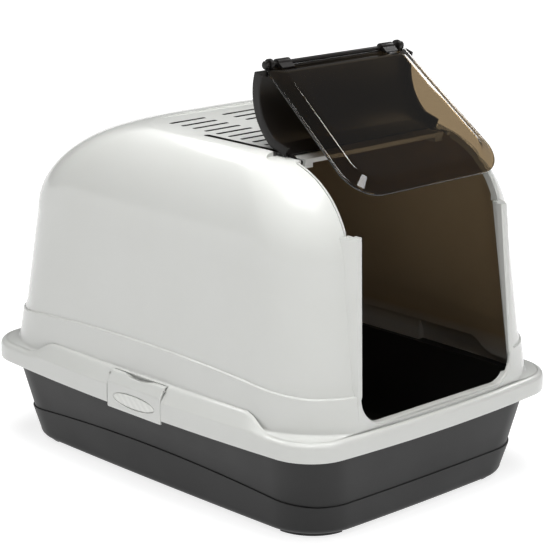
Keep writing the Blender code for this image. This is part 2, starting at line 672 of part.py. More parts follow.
# ---- filter -------------------------------------------------------------------------------------------------
def make_filter():
    plastic = material("filter_holder_plastic", (0.05, 0.05, 0.05), 0.5)
    carbon = material("carbon_fleece", (0.03, 0.03, 0.03), 0.95)
    grille, rows = grille_size()
    half = grille + HOLDER_MARGIN
    y0, y1 = rows[-1] - HOLDER_MARGIN, rows[0] + HOLDER_MARGIN
    top = PANEL_Z - WALL - GAP
    low = top - HOLDER_HEIGHT
    holder = new_object("filter_holder", block(-half, half, y0, y1, low, top), plastic, (0, (y0 + y1) / 2, low))
    cut(holder, block(-half + HOLDER_WALL, half - HOLDER_WALL, y0 + HOLDER_WALL, y1 - HOLDER_WALL,
                      low + HOLDER_WALL, top + CUT_MARGIN))
    across, along = HOLDER_OPENINGS
    step_x = 2 * (half - HOLDER_BAR) / across
    step_y = (y1 - y0 - 2 * HOLDER_BAR) / along
    for i in range(across):
        for j in range(along):
            x = -half + HOLDER_BAR + step_x * i + HOLDER_BAR / 2
            y = y0 + HOLDER_BAR + step_y * j + HOLDER_BAR / 2
            cut(holder, block(x, x + step_x - HOLDER_BAR, y, y + step_y - HOLDER_BAR, low - CUT_MARGIN,
                              low + HOLDER_WALL + GAP))
    add(holder, block(-GRIP_HALF, GRIP_HALF, y1 - HOLDER_WALL / 2, y1 + GRIP_REACH, low, low + GRIP_HEIGHT))
    inset = HOLDER_WALL + FILTER_CLEARANCE
    floor = low + HOLDER_WALL + GAP
    pad = block(-half + inset, half - inset, y0 + inset, y1 - inset, floor, top - FILTER_CLEARANCE)
    new_object("carbon_filter", pad, carbon, (0, (y0 + y1) / 2, floor))


# ---- visor --------------------------------------------------------------------------------------------------
def turned(y, z, degrees):
    """A point of the visor turned about the visor's axis."""
    axis_y, axis_z = hinge_place()
    turn = math.radians(degrees)
    dy = y - axis_y
    dz = z - axis_z
    return (axis_y + dy * math.cos(turn) - dz * math.sin(turn),
            axis_z + dy * math.sin(turn) + dz * math.cos(turn))


def opened(y, z):
    """A point of the shut visor carried back to the open position."""
    return turned(y, z, -VISOR_TRAVEL)


def rod_place():
    """y and z of the door's rod with the visor open."""
    axis_y, axis_z = hinge_place()
    return axis_y + ROD_REACH_Y, axis_z + ROD_REACH_Z


def visor_curve(inward):
    """Section of the shut visor from its front edge over the bend to its rear edge."""
    rod_y, rod_z = turned(*rod_place(), VISOR_TRAVEL)
    middle_y = rod_y - BEND_BACK + VISOR_RADIUS
    middle_z = rod_z - BEND_BELOW
    radius = VISOR_RADIUS - inward
    points = []
    for i in range(BEND_STEPS + 1):
        t = math.radians(BEND_START + (BEND_END - BEND_START) * i / BEND_STEPS)
        points.append((middle_y + radius * math.cos(t), middle_z + radius * math.sin(t)))
    axis_y, axis_z = hinge_place()
    points.append((axis_y - SHELL_LAP, axis_z + SHELL_RISE - inward))
    return points


def visor_band(outer, inner):
    """Closed section of the open visor between two depths below its outer face."""
    return [opened(y, z) for y, z in visor_curve(outer) + visor_curve(inner)[::-1]]


def make_visor():
    finish = material("visor_plastic", (0.018, 0.017, 0.017), 0.35)
    axis_y, axis_z = hinge_place()
    rod_y, rod_z = rod_place()
    pivot = empty("visor_axis", (0, axis_y, axis_z))
    half = CUT_HALF - VISOR_CLEARANCE
    shell = prism(visor_band(0.0, WALL), 0, -half, half)
    visor = new_object("visor", shell, finish, (0, axis_y, axis_z), pivot)
    side = visor_band(WALL / 2, VISOR_SIDE_DEPTH)
    side.pop(len(side) // 2)
    ear = circle(rod_y, rod_z, EAR_RADIUS, 20)
    ear_far = ROD_HALF - RUNNING_CLEARANCE
    ear_near = ear_far - EAR_THICKNESS
    bridge = strip(opened(*visor_curve(WALL / 2)[1]), (rod_y, rod_z), EAR_BRIDGE_HALF)
    arm = strip(opened(axis_y - ARM_LAP, axis_z + SHELL_RISE - WALL / 2), (axis_y, axis_z), ARM_HALF_HEIGHT)
    eye = circle(axis_y, axis_z, HINGE_PIN_RADIUS + ARM_EYE_WALL)
    pin = circle(axis_y, axis_z, HINGE_PIN_RADIUS)
    arm_near = ARM_X - ARM_THICKNESS / 2
    arm_far = ARM_X + ARM_THICKNESS / 2
    for way in (-1, 1):
        add(visor, prism_across(side, way, half - WALL, half))
        add(visor, prism_across(ear, way, ear_near, ear_far))
        add(visor, prism_across(bridge, way, ear_near, ear_far))
        cut(visor, prism_across(circle(rod_y, rod_z, ROD_RADIUS + GAP), way, ear_near - CUT_MARGIN / 2,
                                ear_far + CUT_MARGIN / 2))
        add(visor, prism_across(arm, way, arm_near, arm_far))
        add(visor, prism_across(eye, way, arm_near, arm_far))
        add(visor, prism_across(pin, way, arm_near - HINGE_PIN_REACH, ARM_X))
    rod_end = ROD_HALF + ROD_TAIL
    new_object("door_rod", prism(circle(rod_y, rod_z, ROD_RADIUS), 0, -rod_end, rod_end), finish,
               (0, rod_y, rod_z), pivot)
    for way, label in ((-1, "left"), (1, "right")):
        body = prism_across(circle(rod_y, rod_z, KNOB_RADIUS), way, ROD_HALF + GAP, ROD_HALF + KNOB_LENGTH)
        knob = new_object("rod_knob_" + label, body, finish, (way * ROD_HALF, rod_y, rod_z), pivot)
        cut(knob, prism_across(circle(rod_y, rod_z, ROD_RADIUS + GAP), way, ROD_HALF - KNOB_SOCKET,
                               ROD_HALF + KNOB_SOCKET))


def strip(start, end, half_width):
    """Outline of a flat bar between two (y, z) points."""
    dy = end[0] - start[0]
    dz = end[1] - start[1]
    size = math.hypot(dy, dz)
    ny = -dz / size * half_width
    nz = dy / size * half_width
    return [(start[0] + ny, start[1] + nz), (start[0] - ny, start[1] - nz),
            (end[0] - ny, end[1] - nz), (end[0] + ny, end[1] + nz)]


# ---- door ---------------------------------------------------------------------------------------------------
def door_point(x, down, out):
    """Point of the door: across, down from the rod's axis, and out from the door's rim plane."""
    rod_y, rod_z = rod_place()
    t = math.radians(DOOR_ANGLE)
    return (x, rod_y + down * math.cos(t) + out * math.sin(t), rod_z + down * math.sin(t) - out * math.cos(t))


def door_half(down):
    """Half width of the door, which keeps clear of the doorway at every height."""
    return DOORWAY_TOP_HALF - DOOR_SIDE_CLEARANCE + DOORWAY_FLARE * down * FLARE_SHARE


def door_outline(inset, top, corner):
    """Outline in (x, down): straight top, flared sides, round lower corners."""
    bottom = DOOR_LENGTH - inset
    half = door_half(bottom) - inset
    right = [(door_half(top) - inset, top)]
    right.append((door_half(bottom - corner) - inset, bottom - corner))
    right += [(x, d) for x, d in arc(half - corner, bottom - corner, corner, 0, math.pi / 2, 7)][1:]
    right.append((half - corner, bottom))
    return right + [(-x, d) for x, d in right[::-1]]


def door_plate(outline, low, high):
    """Body between two distances out from the door's rim plane, with an outline in (x, down)."""
    return loft([[door_point(x, down, out) for x, down in outline] for out in (low, high)])


def make_door():
    finish = material("door_smoked_plastic", (0.10, 0.09, 0.08), 0.08, alpha=0.4)
    black = material("visor_plastic", (0.018, 0.017, 0.017), 0.35)
    rod_y, rod_z = rod_place()
    pivot = empty("door_axis", (0, rod_y, rod_z))
    rim = door_outline(0.0, DOOR_TOP, DOOR_CORNER)
    middle = door_outline(DOOR_BORDER, DOOR_STRIP, DOOR_CORNER - MIDDLE_CORNER_LESS)
    levels = ((middle, DOOR_RAISE - DOOR_WALL), (rim, -DOOR_WALL), (rim, 0.0), (middle, DOOR_RAISE))
    rings = [[door_point(x, down, out) for x, down in outline] for outline, out in levels]
    door = new_object("swing_door", loft(rings), finish, (0, rod_y, rod_z), pivot)
    bore = ROD_RADIUS + RUNNING_CLEARANCE
    for way, label in ((-1, "left"), (1, "right")):
        x0 = way * CLIP_X - CLIP_WIDTH / 2
        x1 = x0 + CLIP_WIDTH
        window = [(x0, CLIP_TAB + GAP), (x1, CLIP_TAB + GAP), (x1, CLIP_TAB + WINDOW_LENGTH),
                  (x0, CLIP_TAB + WINDOW_LENGTH)]
        cut(door, door_plate(window, -CUT_MARGIN / 2, CUT_MARGIN / 2))
        barrel = prism(circle(rod_y, rod_z, bore + CLIP_WALL, 20), 0, x0, x1)
        clip = new_object("hinge_clip_" + label, barrel, black, (0, rod_y, rod_z), pivot)
        tab = [(x0, ROD_RADIUS), (x1, ROD_RADIUS), (x1, CLIP_TAB), (x0, CLIP_TAB)]
        add(clip, door_plate(tab, CLIP_TAB_LOW, CLIP_TAB_HIGH))
        cut(clip, prism(circle(rod_y, rod_z, bore), 0, x0 - CUT_MARGIN / 2, x1 + CUT_MARGIN / 2))


# ---- latches ------------------------------------------------------------------------------------------------
def ellipse(cy, cz, half_y, half_z, steps=28):
    return [(cy + half_y * math.cos(2 * math.pi * i / steps), cz + half_z * math.sin(2 * math.pi * i / steps))
            for i in range(steps)]


def make_latch(way, label):
    finish = material("hood_polypropylene", (0.86, 0.865, 0.85), 0.30)
    steel = material("pin_steel", (0.55, 0.55, 0.55), 0.35, metallic=1.0)
    pin_x, pin_z = latch_axis()
    place = (way * pin_x, LATCH_Y, pin_z)
    pivot = empty("latch_axis_" + label, place)
    outer = latch_profile()
    inner = [(x - LATCH_WALL, z) for x, z in outer]
    nose = RIM_A - WALL - FLANGE_CLEARANCE + LATCH_NOSE_GAP
    under = FLANGE_Z - WALL - LATCH_NOSE_DROP
    section = outer + inner[:1:-1] + [(RIM_A - LATCH_WALL, under + LATCH_NOSE_DROP / 2), (nose, under),
                                      (nose, LATCH_BOTTOM)]
    front = LATCH_Y - LATCH_LENGTH / 2
    back = LATCH_Y + LATCH_LENGTH / 2
    body = prism([(way * x, z) for x, z in section], 1, front, back)
    latch = new_object("latch_" + label, body, finish, place, pivot)
    boss = circle(way * pin_x, pin_z, LATCH_PIN_RADIUS + GAP + BOSS_WALL, 14)
    add(latch, prism(boss, 1, front, front + BOSS_LENGTH))
    add(latch, prism(boss, 1, back - BOSS_LENGTH, back))
    bore = circle(way * pin_x, pin_z, LATCH_PIN_RADIUS + GAP, 12)
    cut(latch, prism(bore, 1, front - CUT_MARGIN, back + CUT_MARGIN))
    floor = RIM_A - INLAY_DEPTH
    seat = ellipse(LATCH_Y, INLAY_Z, INLAY_LENGTH / 2 + INLAY_GAP, INLAY_HEIGHT / 2 + INLAY_GAP)
    cut(latch, prism_across(seat, way, floor - GAP, RIM_A + CUT_MARGIN))
    oval = ellipse(LATCH_Y, INLAY_Z, INLAY_LENGTH / 2, INLAY_HEIGHT / 2)
    new_object("latch_inlay_" + label, prism_across(oval, way, floor, RIM_A - GAP / 3), finish,
               (way * floor, LATCH_Y, INLAY_Z), pivot)
    reach = LATCH_LENGTH / 2 + LATCH_GAP + WALL - GAP
    pin = circle(way * pin_x, pin_z, LATCH_PIN_RADIUS, 12)
    new_object("latch_pin_" + label, prism(pin, 1, LATCH_Y - reach, LATCH_Y + reach), steel, place)


def main():
    remove_everything()
    make_tray()
    make_hood()
    make_filter()
    make_visor()
    make_door()
    for way, label in ((-1, "left"), (1, "right")):
        make_latch(way, label)


main()
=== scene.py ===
"""Looks of a hooded cat litter box: charcoal tray, pearl-white hood, black visor, smoked swing door and latches.

Metres, +Z up, the origin on the floor under the middle of the box, the entrance towards -Y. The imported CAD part
gives every place; this file gives the visible skins, their finishes, the floor, the lights and the camera.
"""

import json
import math

import bmesh
import bpy
import numpy as np
from mathutils import Matrix, Vector


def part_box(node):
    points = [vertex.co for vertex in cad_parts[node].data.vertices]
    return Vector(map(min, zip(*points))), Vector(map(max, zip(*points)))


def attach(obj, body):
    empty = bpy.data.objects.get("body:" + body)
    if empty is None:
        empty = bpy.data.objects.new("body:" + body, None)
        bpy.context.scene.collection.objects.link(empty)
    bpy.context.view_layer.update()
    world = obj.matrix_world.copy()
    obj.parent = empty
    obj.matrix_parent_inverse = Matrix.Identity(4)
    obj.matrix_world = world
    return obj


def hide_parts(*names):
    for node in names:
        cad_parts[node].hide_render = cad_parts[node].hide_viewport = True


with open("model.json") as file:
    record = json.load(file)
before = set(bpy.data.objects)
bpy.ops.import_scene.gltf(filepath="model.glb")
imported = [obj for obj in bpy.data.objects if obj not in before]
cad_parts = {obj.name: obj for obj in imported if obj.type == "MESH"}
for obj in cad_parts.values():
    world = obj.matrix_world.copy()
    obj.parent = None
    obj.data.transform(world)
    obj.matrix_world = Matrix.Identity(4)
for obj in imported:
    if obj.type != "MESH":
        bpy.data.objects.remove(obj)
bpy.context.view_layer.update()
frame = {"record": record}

# ---- places from the frame ----------------------------------------------------------------------------------
HOOD_LOW, HOOD_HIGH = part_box("hood")
TRAY_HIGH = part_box("tray")[1]
LATCH_LOW, LATCH_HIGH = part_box("latch_right")
INLAY_LOW, INLAY_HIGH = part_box("latch_inlay_right")
KNOB_LOW, KNOB_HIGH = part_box("rod_knob_right")
CLIP_LOW, CLIP_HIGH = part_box("hinge_clip_right")
PIN_LOW, PIN_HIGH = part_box("latch_pin_right")
HOLDER_LOW, HOLDER_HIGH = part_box("filter_holder")
PAD_LOW, PAD_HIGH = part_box("carbon_filter")
JOINT_PLACES = {joint["name"]: joint.get("pos_m") for joint in frame["record"]["behaviour"]["joints"]}

RIM_A = LATCH_HIGH[0]         # half width over the rim
RIM_B = HOOD_HIGH[1]          # half length over the rim
RIM_Z = HOOD_LOW[2]           # lower edge of the hood
FLANGE_Z = TRAY_HIGH[2]       # top of the tray's flange
AXIS_Y, AXIS_Z = JOINT_PLACES["visor_hinge"][1:]
ROD_Y, ROD_Z = JOINT_PLACES["door_hinge"][1:]
ROOF_Z = AXIS_Z + 0.013       # the visor turns this far below the roof

# ---- sizes --------------------------------------------------------------------------------------------------
WALL = 0.0025                 # moulded wall
GAP = 0.0003                  # between pieces that touch
MARGIN = 0.020                # how far a cutting body reaches past what it cuts

RIM_CORNER = 0.062
RIM_BOW = (0.017, 0.015)      # how far the long sides and the ends of the rim swell past its corners
LEDGE_Z = 0.142               # top of the rim at the two ends
LEDGE_WIDTH = 0.0190          # rim to wall, long sides
END_INSET = 0.0095            # rim to wall, ends
SHOULDER_RISE = 0.019         # the rim is this much taller along the long sides
SHOULDER_HALF = 0.185
SHOULDER_RAMP = 0.046
LATCH_Y = (LATCH_LOW[1] + LATCH_HIGH[1]) / 2
RIM_BOTTOM_ROUND = 0.0012
VALLEY = 0.0045               # hollow between the rim and the wall

WALL_CORNER = 0.095
WALL_BOW = (0.008, 0.010)
LEAN_SIDE = 0.07              # how much the long sides lean in, per metre of height
LEAN_END = 0.12
STEP_Z = 0.187
STEP_ARCH = 0.016
STEP_DEPTH = 0.003
STEP_ROUND = 0.0016           # rounded edge of the step, which catches the light
STEP_CLEAR = 0.045
ROUND_HEIGHT = 0.140          # height over which the walls round into the roof
ROUND_SIDE = 0.065
ROUND_END = 0.100
ROOF_CORNER = 0.128
BACK_FALL = 0.55              # share by which the back half of the outline draws in over that height

NOTCH_DROP = 0.086            # roof down to the ledge where the visor's cut-out ends
CUT_HALF = 0.1405
CUT_BACK = 0.1006
DOORWAY_TOP_HALF = 0.1285
DOORWAY_FLARE = 0.050
SILL_Z = 0.148
DOORWAY_CORNER = 0.034
DOORWAY_ROUND = 0.0016        # rounded edge of the doorway
FRAME_BORDER = 0.0105         # flat face beside the doorway
FRAME_BEVEL = 0.0105          # sloping side of the frame at its top
FRAME_PROUD = 0.0086
FRAME_LEAN = 0.081
FRAME_DEPTH = 0.018
RETURN_DEPTH = 0.0105         # wall of the doorway seen inside it, at the top
LIP_WIDTH = 0.0026            # bead along the visor's cut-out
LIP_PROUD = 0.0007
LIP_DEPTH = 0.0080

PANEL_DROP = 0.008            # vent panel below the roof
PANEL_OVERHANG = 0.010
PANEL_BACK = 0.0955
PANEL_SINK = 0.0016           # the vented part lies this far below the roof's edge
WELL_BACK = -0.150            # the deeper part under the visor ends here
PANEL_FRONT_MARGIN = 0.003
PANEL_CORNER = 0.012
PANEL_ROUND = 0.0022
ROOF_LIP_DEPTH = 0.0055
SLOT_WIDTH = 0.0062
SLOT_PITCH = 0.022
SLOT_COLUMNS = 3
SLOT_COLUMN_GAP = 0.032
SLOT_BACK_MARGIN = 0.037
SLOT_ROWS = 9
HAND_SLOT_WIDTH = 0.009
HAND_SLOT_LENGTH = 0.128
HAND_SLOT_EDGE = 0.0175
HAND_SLOT_FRONT = 0.038
GRILLE_MARGIN = 0.0365

TRAY_SIDE_INSET = 0.022
TRAY_END_INSET = 0.021
TRAY_BASE_Z = 0.004
TRAY_TAPER_SIDE = 0.0255
TRAY_TAPER_END = 0.0165
TRAY_GROOVE_Z = 0.045
TRAY_GROOVE_ARCH = 0.014
TRAY_BEAD = 0.0013            # ledge along the groove
TRAY_CORNER = 0.068
TRAY_BOW = (0.004, 0.004)
TRAY_BOTTOM_ROUND = 0.010
FLANGE_CLEARANCE = 0.0013
FOOT_INSET = 0.012
FOOT_WIDTH = 0.012

VISOR_TRAVEL = 155.4          # degrees from open to shut
VISOR_RADIUS = 0.0815
VISOR_CLEARANCE = 0.002
VISOR_SIDE_DEPTH = 0.012
ROD_RADIUS = 0.003
ROD_HALF = 0.1188
EAR_THICKNESS = 0.005
EAR_RADIUS = 0.0075
ARM_X = 0.130
ARM_THICKNESS = 0.004
ARM_HALF_HEIGHT = 0.0025
SHELL_LAP = 0.0168            # the shell ends this far in front of the axis
SHELL_RISE = 0.0012
HINGE_PIN_RADIUS = 0.003
HINGE_PIN_REACH = 0.018

DOOR_ANGLE = math.radians(217.7)   # direction of the leaning door from +Y towards +Z
DOOR_LENGTH = 0.222
DOOR_SIDE_CLEARANCE = 0.0020
DOOR_TOP = 0.0042
DOOR_RAISE = 0.008
DOOR_BORDER = 0.020
DOOR_STRIP = 0.022
DOOR_WALL = 0.0022
DOOR_CORNER = 0.045
CLIP_WALL = 0.0026
CLIP_TAB = 0.0115
WINDOW_LENGTH = 0.005

LATCH_WALL = 0.0028
LATCH_DIP = 0.0029            # finger scoop in the latch's top edge
INLAY_LENGTH = 0.079
INLAY_HEIGHT = 0.017
INLAY_GAP = 0.0012
INLAY_Z = (INLAY_LOW[2] + INLAY_HIGH[2]) / 2
INLAY_SEAT = 0.0018

SIDE_STEPS = 26               # points along half a long side, round a corner and along half an end
CORNER_STEPS = 22
END_STEPS = 26
SIDE_SHARE = 0.6              # points further out than this share of the half width belong to a long side
ARCH_SHARE = 0.88             # the arches fall to nothing at this share of the half length

BAND_A = RIM_A - LEDGE_WIDTH
BAND_B = RIM_B - END_INSET
SPRING_Z = ROOF_Z - ROUND_HEIGHT
NOTCH_Z = ROOF_Z - NOTCH_DROP
PANEL_Z = ROOF_Z - PANEL_DROP


# ---- finishes -----------------------------------------------------------------------------------------------
def linear(colour):
    """Scene-linear RGBA of an sRGB hex colour."""
    parts = [int(colour[i:i + 2], 16) / 255 for i in (1, 3, 5)]
    return (*[p / 12.92 if p <= 0.04045 else ((p + 0.055) / 1.055) ** 2.4 for p in parts], 1.0)


def node(tree, kind, inputs=None, **settings):
    """Adds a node; an input is a value, or another node's socket to link from."""
    made = tree.nodes.new(kind)
    for name, value in settings.items():
        setattr(made, name, value)
    for key, value in (inputs or {}).items():
        if isinstance(value, bpy.types.NodeSocket):
            tree.links.new(value, made.inputs[key])
        else:
            made.inputs[key].default_value = value
    return made


def new_material(name):
    """Empty node material and its Principled shader."""
    made = bpy.data.materials.new(name)
    made.use_nodes = True
    tree = made.node_tree
    shader = tree.nodes["Principled BSDF"]
    return made, tree, shader


def moulded(name, colour, roughness, spread, grain_mm, grain_depth_mm, wave_mm=0.0, wave_depth_mm=0.0, tint=None,
            coat=0.0, coat_roughness=0.1, specular=0.5):
    """Moulded plastic: a fine grain from the tool's surface, and slow waves where the melt shrank."""
    made, tree, shader = new_material(name)
    place = node(tree, "ShaderNodeTexCoord").outputs["Object"]
    grain = node(tree, "ShaderNodeTexNoise", {"Vector": place, "Scale": 1000 / grain_mm, "Detail": 2.0})
    cloud = node(tree, "ShaderNodeTexNoise", {"Vector": place, "Scale": 11.0, "Detail": 3.0})
    other = tint or colour
    mix = node(tree, "ShaderNodeMix", {"Factor": cloud.outputs["Fac"], "A": linear(colour), "B": linear(other)},
               data_type="RGBA")
    tree.links.new(mix.outputs["Result"], shader.inputs["Base Color"])
    rough = node(tree, "ShaderNodeMapRange", {"Value": cloud.outputs["Fac"], "From Min": 0.3, "From Max": 0.7,
                                             "To Min": roughness - spread, "To Max": roughness + spread})
    tree.links.new(rough.outputs["Result"], shader.inputs["Roughness"])
    bump = node(tree, "ShaderNodeBump", {"Height": grain.outputs["Fac"], "Strength": 1.0,
                                         "Distance": grain_depth_mm / 1000})
    if wave_mm:
        wave = node(tree, "ShaderNodeTexNoise", {"Vector": place, "Scale": 1000 / wave_mm, "Detail": 0.0})
        slow = node(tree, "ShaderNodeBump", {"Height": wave.outputs["Fac"], "Strength": 1.0,
                                             "Distance": wave_depth_mm / 1000})
        tree.links.new(slow.outputs["Normal"], bump.inputs["Normal"])
    tree.links.new(bump.outputs["Normal"], shader.inputs["Normal"])
    shader.inputs["IOR"].default_value = 1.49
    shader.inputs["Specular IOR Level"].default_value = specular
    shader.inputs["Coat Weight"].default_value = coat
    shader.inputs["Coat Roughness"].default_value = coat_roughness
    return made


def pearl_white_polypropylene():
    """Polypropylene with a pearl pigment, moulded against a polished tool: bright, with soft clear reflections."""
    return moulded("polypropylene_pearl_white", "#C5C6C3", 0.42, 0.03, 1.4, 0.004, 34.0, 0.04, "#C1C2BE",
                   coat=0.8, coat_roughness=0.10)


def charcoal_polypropylene():
    """Polypropylene moulded against a spark-eroded tool: an even matt charcoal; the 0.4 mm grain is drawn at 1 mm."""
    return moulded("polypropylene_charcoal_grained", "#2A2A2A", 0.46, 0.04, 1.0, 0.03, 40.0, 0.04, "#262626",
                   specular=0.25)


def black_polypropylene():
    """Polypropylene moulded satin black, a little brown in the light."""
    return moulded("polypropylene_satin_black", "#171514", 0.36, 0.05, 0.9, 0.012, 26.0, 0.04, "#131110",
                   specular=0.35)


def holder_polypropylene():
    """Plain black moulded grid."""
    return moulded("polypropylene_holder_black", "#3A3A3A", 0.5, 0.05, 0.8, 0.02)


def painted_shade_lining():
    """Inner face of the hood: taupe painted darker than the white outside, painted shade for the dim inside of the
    hood; a neutral grey below the ledge, painted lighter as painted light on the shaded band behind the rim; satin.
    """
    made = moulded("taupe_inner_face_painted_shade", "#AA9576", 0.42, 0.04, 1.2, 0.01, 30.0, 0.05, "#A08A6B")
    tree = made.node_tree
    shader = tree.nodes["Principled BSDF"]
    taupe = shader.inputs["Base Color"].links[0].from_socket
    height = node(tree, "ShaderNodeSeparateXYZ",
                  {"Vector": node(tree, "ShaderNodeTexCoord").outputs["Object"]}).outputs["Z"]
    # Painted light and shade by height: the lighter grey up to the ledge, then the darker taupe above it.
    share = node(tree, "ShaderNodeMapRange", {"Value": height, "From Min": LEDGE_Z, "From Max": LEDGE_Z + 0.03})
    mix = node(tree, "ShaderNodeMix", {"Factor": share.outputs["Result"], "A": linear("#BDB9B2"), "B": taupe},
               data_type="RGBA")
    tree.links.new(mix.outputs["Result"], shader.inputs["Base Color"])
    return made


def smoked_polystyrene():
    """Clear polystyrene with a brown smoke dye, moulded glossy: tinted, with sharp glints along its edges."""
    made, tree, shader = new_material("polystyrene_smoked_clear")
    place = node(tree, "ShaderNodeTexCoord").outputs["Object"]
    wave = node(tree, "ShaderNodeTexNoise", {"Vector": place, "Scale": 1000 / 60.0, "Detail": 0.0})
    bump = node(tree, "ShaderNodeBump", {"Height": wave.outputs["Fac"], "Strength": 1.0, "Distance": 0.0001})
    tree.links.new(bump.outputs["Normal"], shader.inputs["Normal"])
    shader.inputs["Base Color"].default_value = linear("#877458")
    shader.inputs["Roughness"].default_value = 0.02
    shader.inputs["IOR"].default_value = 1.57
    shader.inputs["Transmission Weight"].default_value = 1.0
    return made


def inlay_polypropylene():
    """The latch's oval: the same white with a fine diagonal ribbing, drawn at 1.3 mm so that it shows."""
    made, tree, shader = new_material("polypropylene_white_diagonal_ribs")
    place = node(tree, "ShaderNodeTexCoord").outputs["Object"]
    turned = node(tree, "ShaderNodeMapping", {"Vector": place, "Rotation": (math.radians(45), 0.0, 0.0)})
    ribs = node(tree, "ShaderNodeTexWave", {"Vector": turned.outputs["Vector"], "Scale": 1000 / 1.3 / 20},
                bands_direction="Y")
    bump = node(tree, "ShaderNodeBump", {"Height": ribs.outputs["Fac"], "Strength": 1.0, "Distance": 0.0002})
    # The ribs' valleys are painted darker than their crests: painted shade in the grooves.
    shade = node(tree, "ShaderNodeMix", {"Factor": ribs.outputs["Fac"], "A": linear("#D2D3CF"),
                                         "B": linear("#DADBD7")}, data_type="RGBA")
    tree.links.new(shade.outputs["Result"], shader.inputs["Base Color"])
    tree.links.new(bump.outputs["Normal"], shader.inputs["Normal"])
    shader.inputs["Roughness"].default_value = 0.42
    return made


def drawn_steel():
    """Drawn steel wire: fine lengthwise streaks."""
    made, tree, shader = new_material("steel_drawn_wire")
    place = node(tree, "ShaderNodeTexCoord").outputs["Object"]
    long = node(tree, "ShaderNodeMapping", {"Vector": place, "Scale": (1.0, 0.02, 1.0)})
    streak = node(tree, "ShaderNodeTexNoise", {"Vector": long.outputs["Vector"], "Scale": 1000 / 0.3})
    rough = node(tree, "ShaderNodeMapRange", {"Value": streak.outputs["Fac"], "To Min": 0.22, "To Max": 0.42})
    tree.links.new(rough.outputs["Result"], shader.inputs["Roughness"])
    shader.inputs["Base Color"].default_value = linear("#B8B8B6")
    shader.inputs["Metallic"].default_value = 1.0
    return made


def carbon_fleece():
    """Needled fleece with activated carbon: black, matt and fibrous; fibres drawn at 1.5 mm."""
    made, tree, shader = new_material("carbon_needled_fleece")
    place = node(tree, "ShaderNodeTexCoord").outputs["Object"]
    fibre = node(tree, "ShaderNodeTexNoise", {"Vector": place, "Scale": 1000 / 1.5, "Detail": 6.0,
                                              "Distortion": 2.0})
    bump = node(tree, "ShaderNodeBump", {"Height": fibre.outputs["Fac"], "Strength": 1.0, "Distance": 0.0006})
    shade = node(tree, "ShaderNodeMix", {"Factor": fibre.outputs["Fac"], "A": linear("#161616"),
                                         "B": linear("#2C2C2B")}, data_type="RGBA")
    tree.links.new(shade.outputs["Result"], shader.inputs["Base Color"])
    tree.links.new(bump.outputs["Normal"], shader.inputs["Normal"])
    shader.inputs["Roughness"].default_value = 0.95
    shader.inputs["Sheen Weight"].default_value = 0.2
    return made


# ---- outlines, as whole arrays ------------------------------------------------------------------------------
def bowed_rings(a, b, corner, bows):
    """Rounded rectangles whose four sides are shallow arcs, one for each row of sizes.

    A quarter runs along the arc of the long side, round the corner's arc and along the arc of the end; each arc
    is centre + radius (cos t, sin t) with t even, and the corner's centre is where it meets both others. The other
    three quarters are reflections.
    """
    a, b, corner, bow_side, bow_end = np.broadcast_arrays(*map(np.atleast_1d, (a, b, corner, *bows)))
    side_r = (b * b + bow_side ** 2) / (2 * bow_side)
    end_r = (a * a + bow_end ** 2) / (2 * bow_end)
    side_c = a - side_r
    end_c = b - end_r
    reach = side_r - corner
    apart = np.hypot(side_c, end_c)
    along = (reach ** 2 - (end_r - corner) ** 2 + apart ** 2) / (2 * apart)
    across = np.sqrt(np.maximum(reach ** 2 - along ** 2, 0))
    ex, ey = -side_c / apart, end_c / apart
    cx = side_c + ex * along + ey * across
    cy = ey * along - ex * across
    wrong = (cx < 0) | (cy < 0)
    cx = np.where(wrong, side_c + ex * along - ey * across, cx)
    cy = np.where(wrong, ey * along + ex * across, cy)
    first = np.arctan2(cy, cx - side_c)
    second = np.arctan2(cy - end_c, cx)

    def arc(x, y, radius, start, end, steps):
        t = start[:, None] + (end - start)[:, None] * np.linspace(0, 1, steps, endpoint=False)
        return np.stack([x[:, None] + radius[:, None] * np.cos(t), y[:, None] + radius[:, None] * np.sin(t)], -1)

    zero = np.zeros_like(a)
    quarter = np.concatenate([arc(side_c, zero, side_r, zero, first, SIDE_STEPS),
                              arc(cx, cy, corner, first, second, CORNER_STEPS),
                              arc(zero, end_c, end_r, second, zero + math.pi / 2, END_STEPS)], axis=1)
    top = np.stack([zero, b], -1)[:, None]
    left = np.stack([-a, zero], -1)[:, None]
    half = np.concatenate([quarter, top, quarter[:, :0:-1] * (-1, 1)], axis=1)
    return np.concatenate([half, left, -half[:, 1:]], axis=1)


def smooth(t):
    """0 below 0, 1 above 1, and 3 t^2 - 2 t^3 between them."""
    t = np.clip(t, 0, 1)
    return t * t * (3 - 2 * t)


def shoulder(ring):
    """1 along the taller stretch of the rim on the long sides, 0 at the ends, for points (..., 2)."""
    rise = smooth((SHOULDER_HALF + SHOULDER_RAMP - np.abs(ring[..., 1] - LATCH_Y)) / SHOULDER_RAMP)
    return np.where(np.abs(ring[..., 0]) < SIDE_SHARE * RIM_A, 0, rise)


def side_arch(ring):
    """1 in the middle of the long sides, falling as a parabola to 0 near the corners."""
    fall = np.maximum(0, 1 - (ring[..., 1] / (ARCH_SHARE * BAND_B)) ** 2)
    return np.where(np.abs(ring[..., 0]) < SIDE_SHARE * BAND_A, 0, fall)


def softened(corners, reaches, steps=7):
    """Path through corners (K, ..., 2) with each inner one eased by a quadratic Bezier that starts and ends the
    given reach from it: (1-t)^2 before + 2t(1-t) corner + t^2 after."""
    corners = [np.asarray(c, float) for c in corners]
    path = [corners[0]]
    t = np.linspace(0, 1, steps)
    for before, corner, after, reach in zip(corners, corners[1:], corners[2:], reaches):
        back = before - corner
        ahead = after - corner
        back = back / np.linalg.norm(back, axis=-1, keepdims=True) * reach
        ahead = ahead / np.linalg.norm(ahead, axis=-1, keepdims=True) * reach
        path += [(1 - k) ** 2 * (corner + back) + 2 * k * (1 - k) * corner + k * k * (corner + ahead) for k in t]
    path.append(corners[-1])
    return np.stack(path)


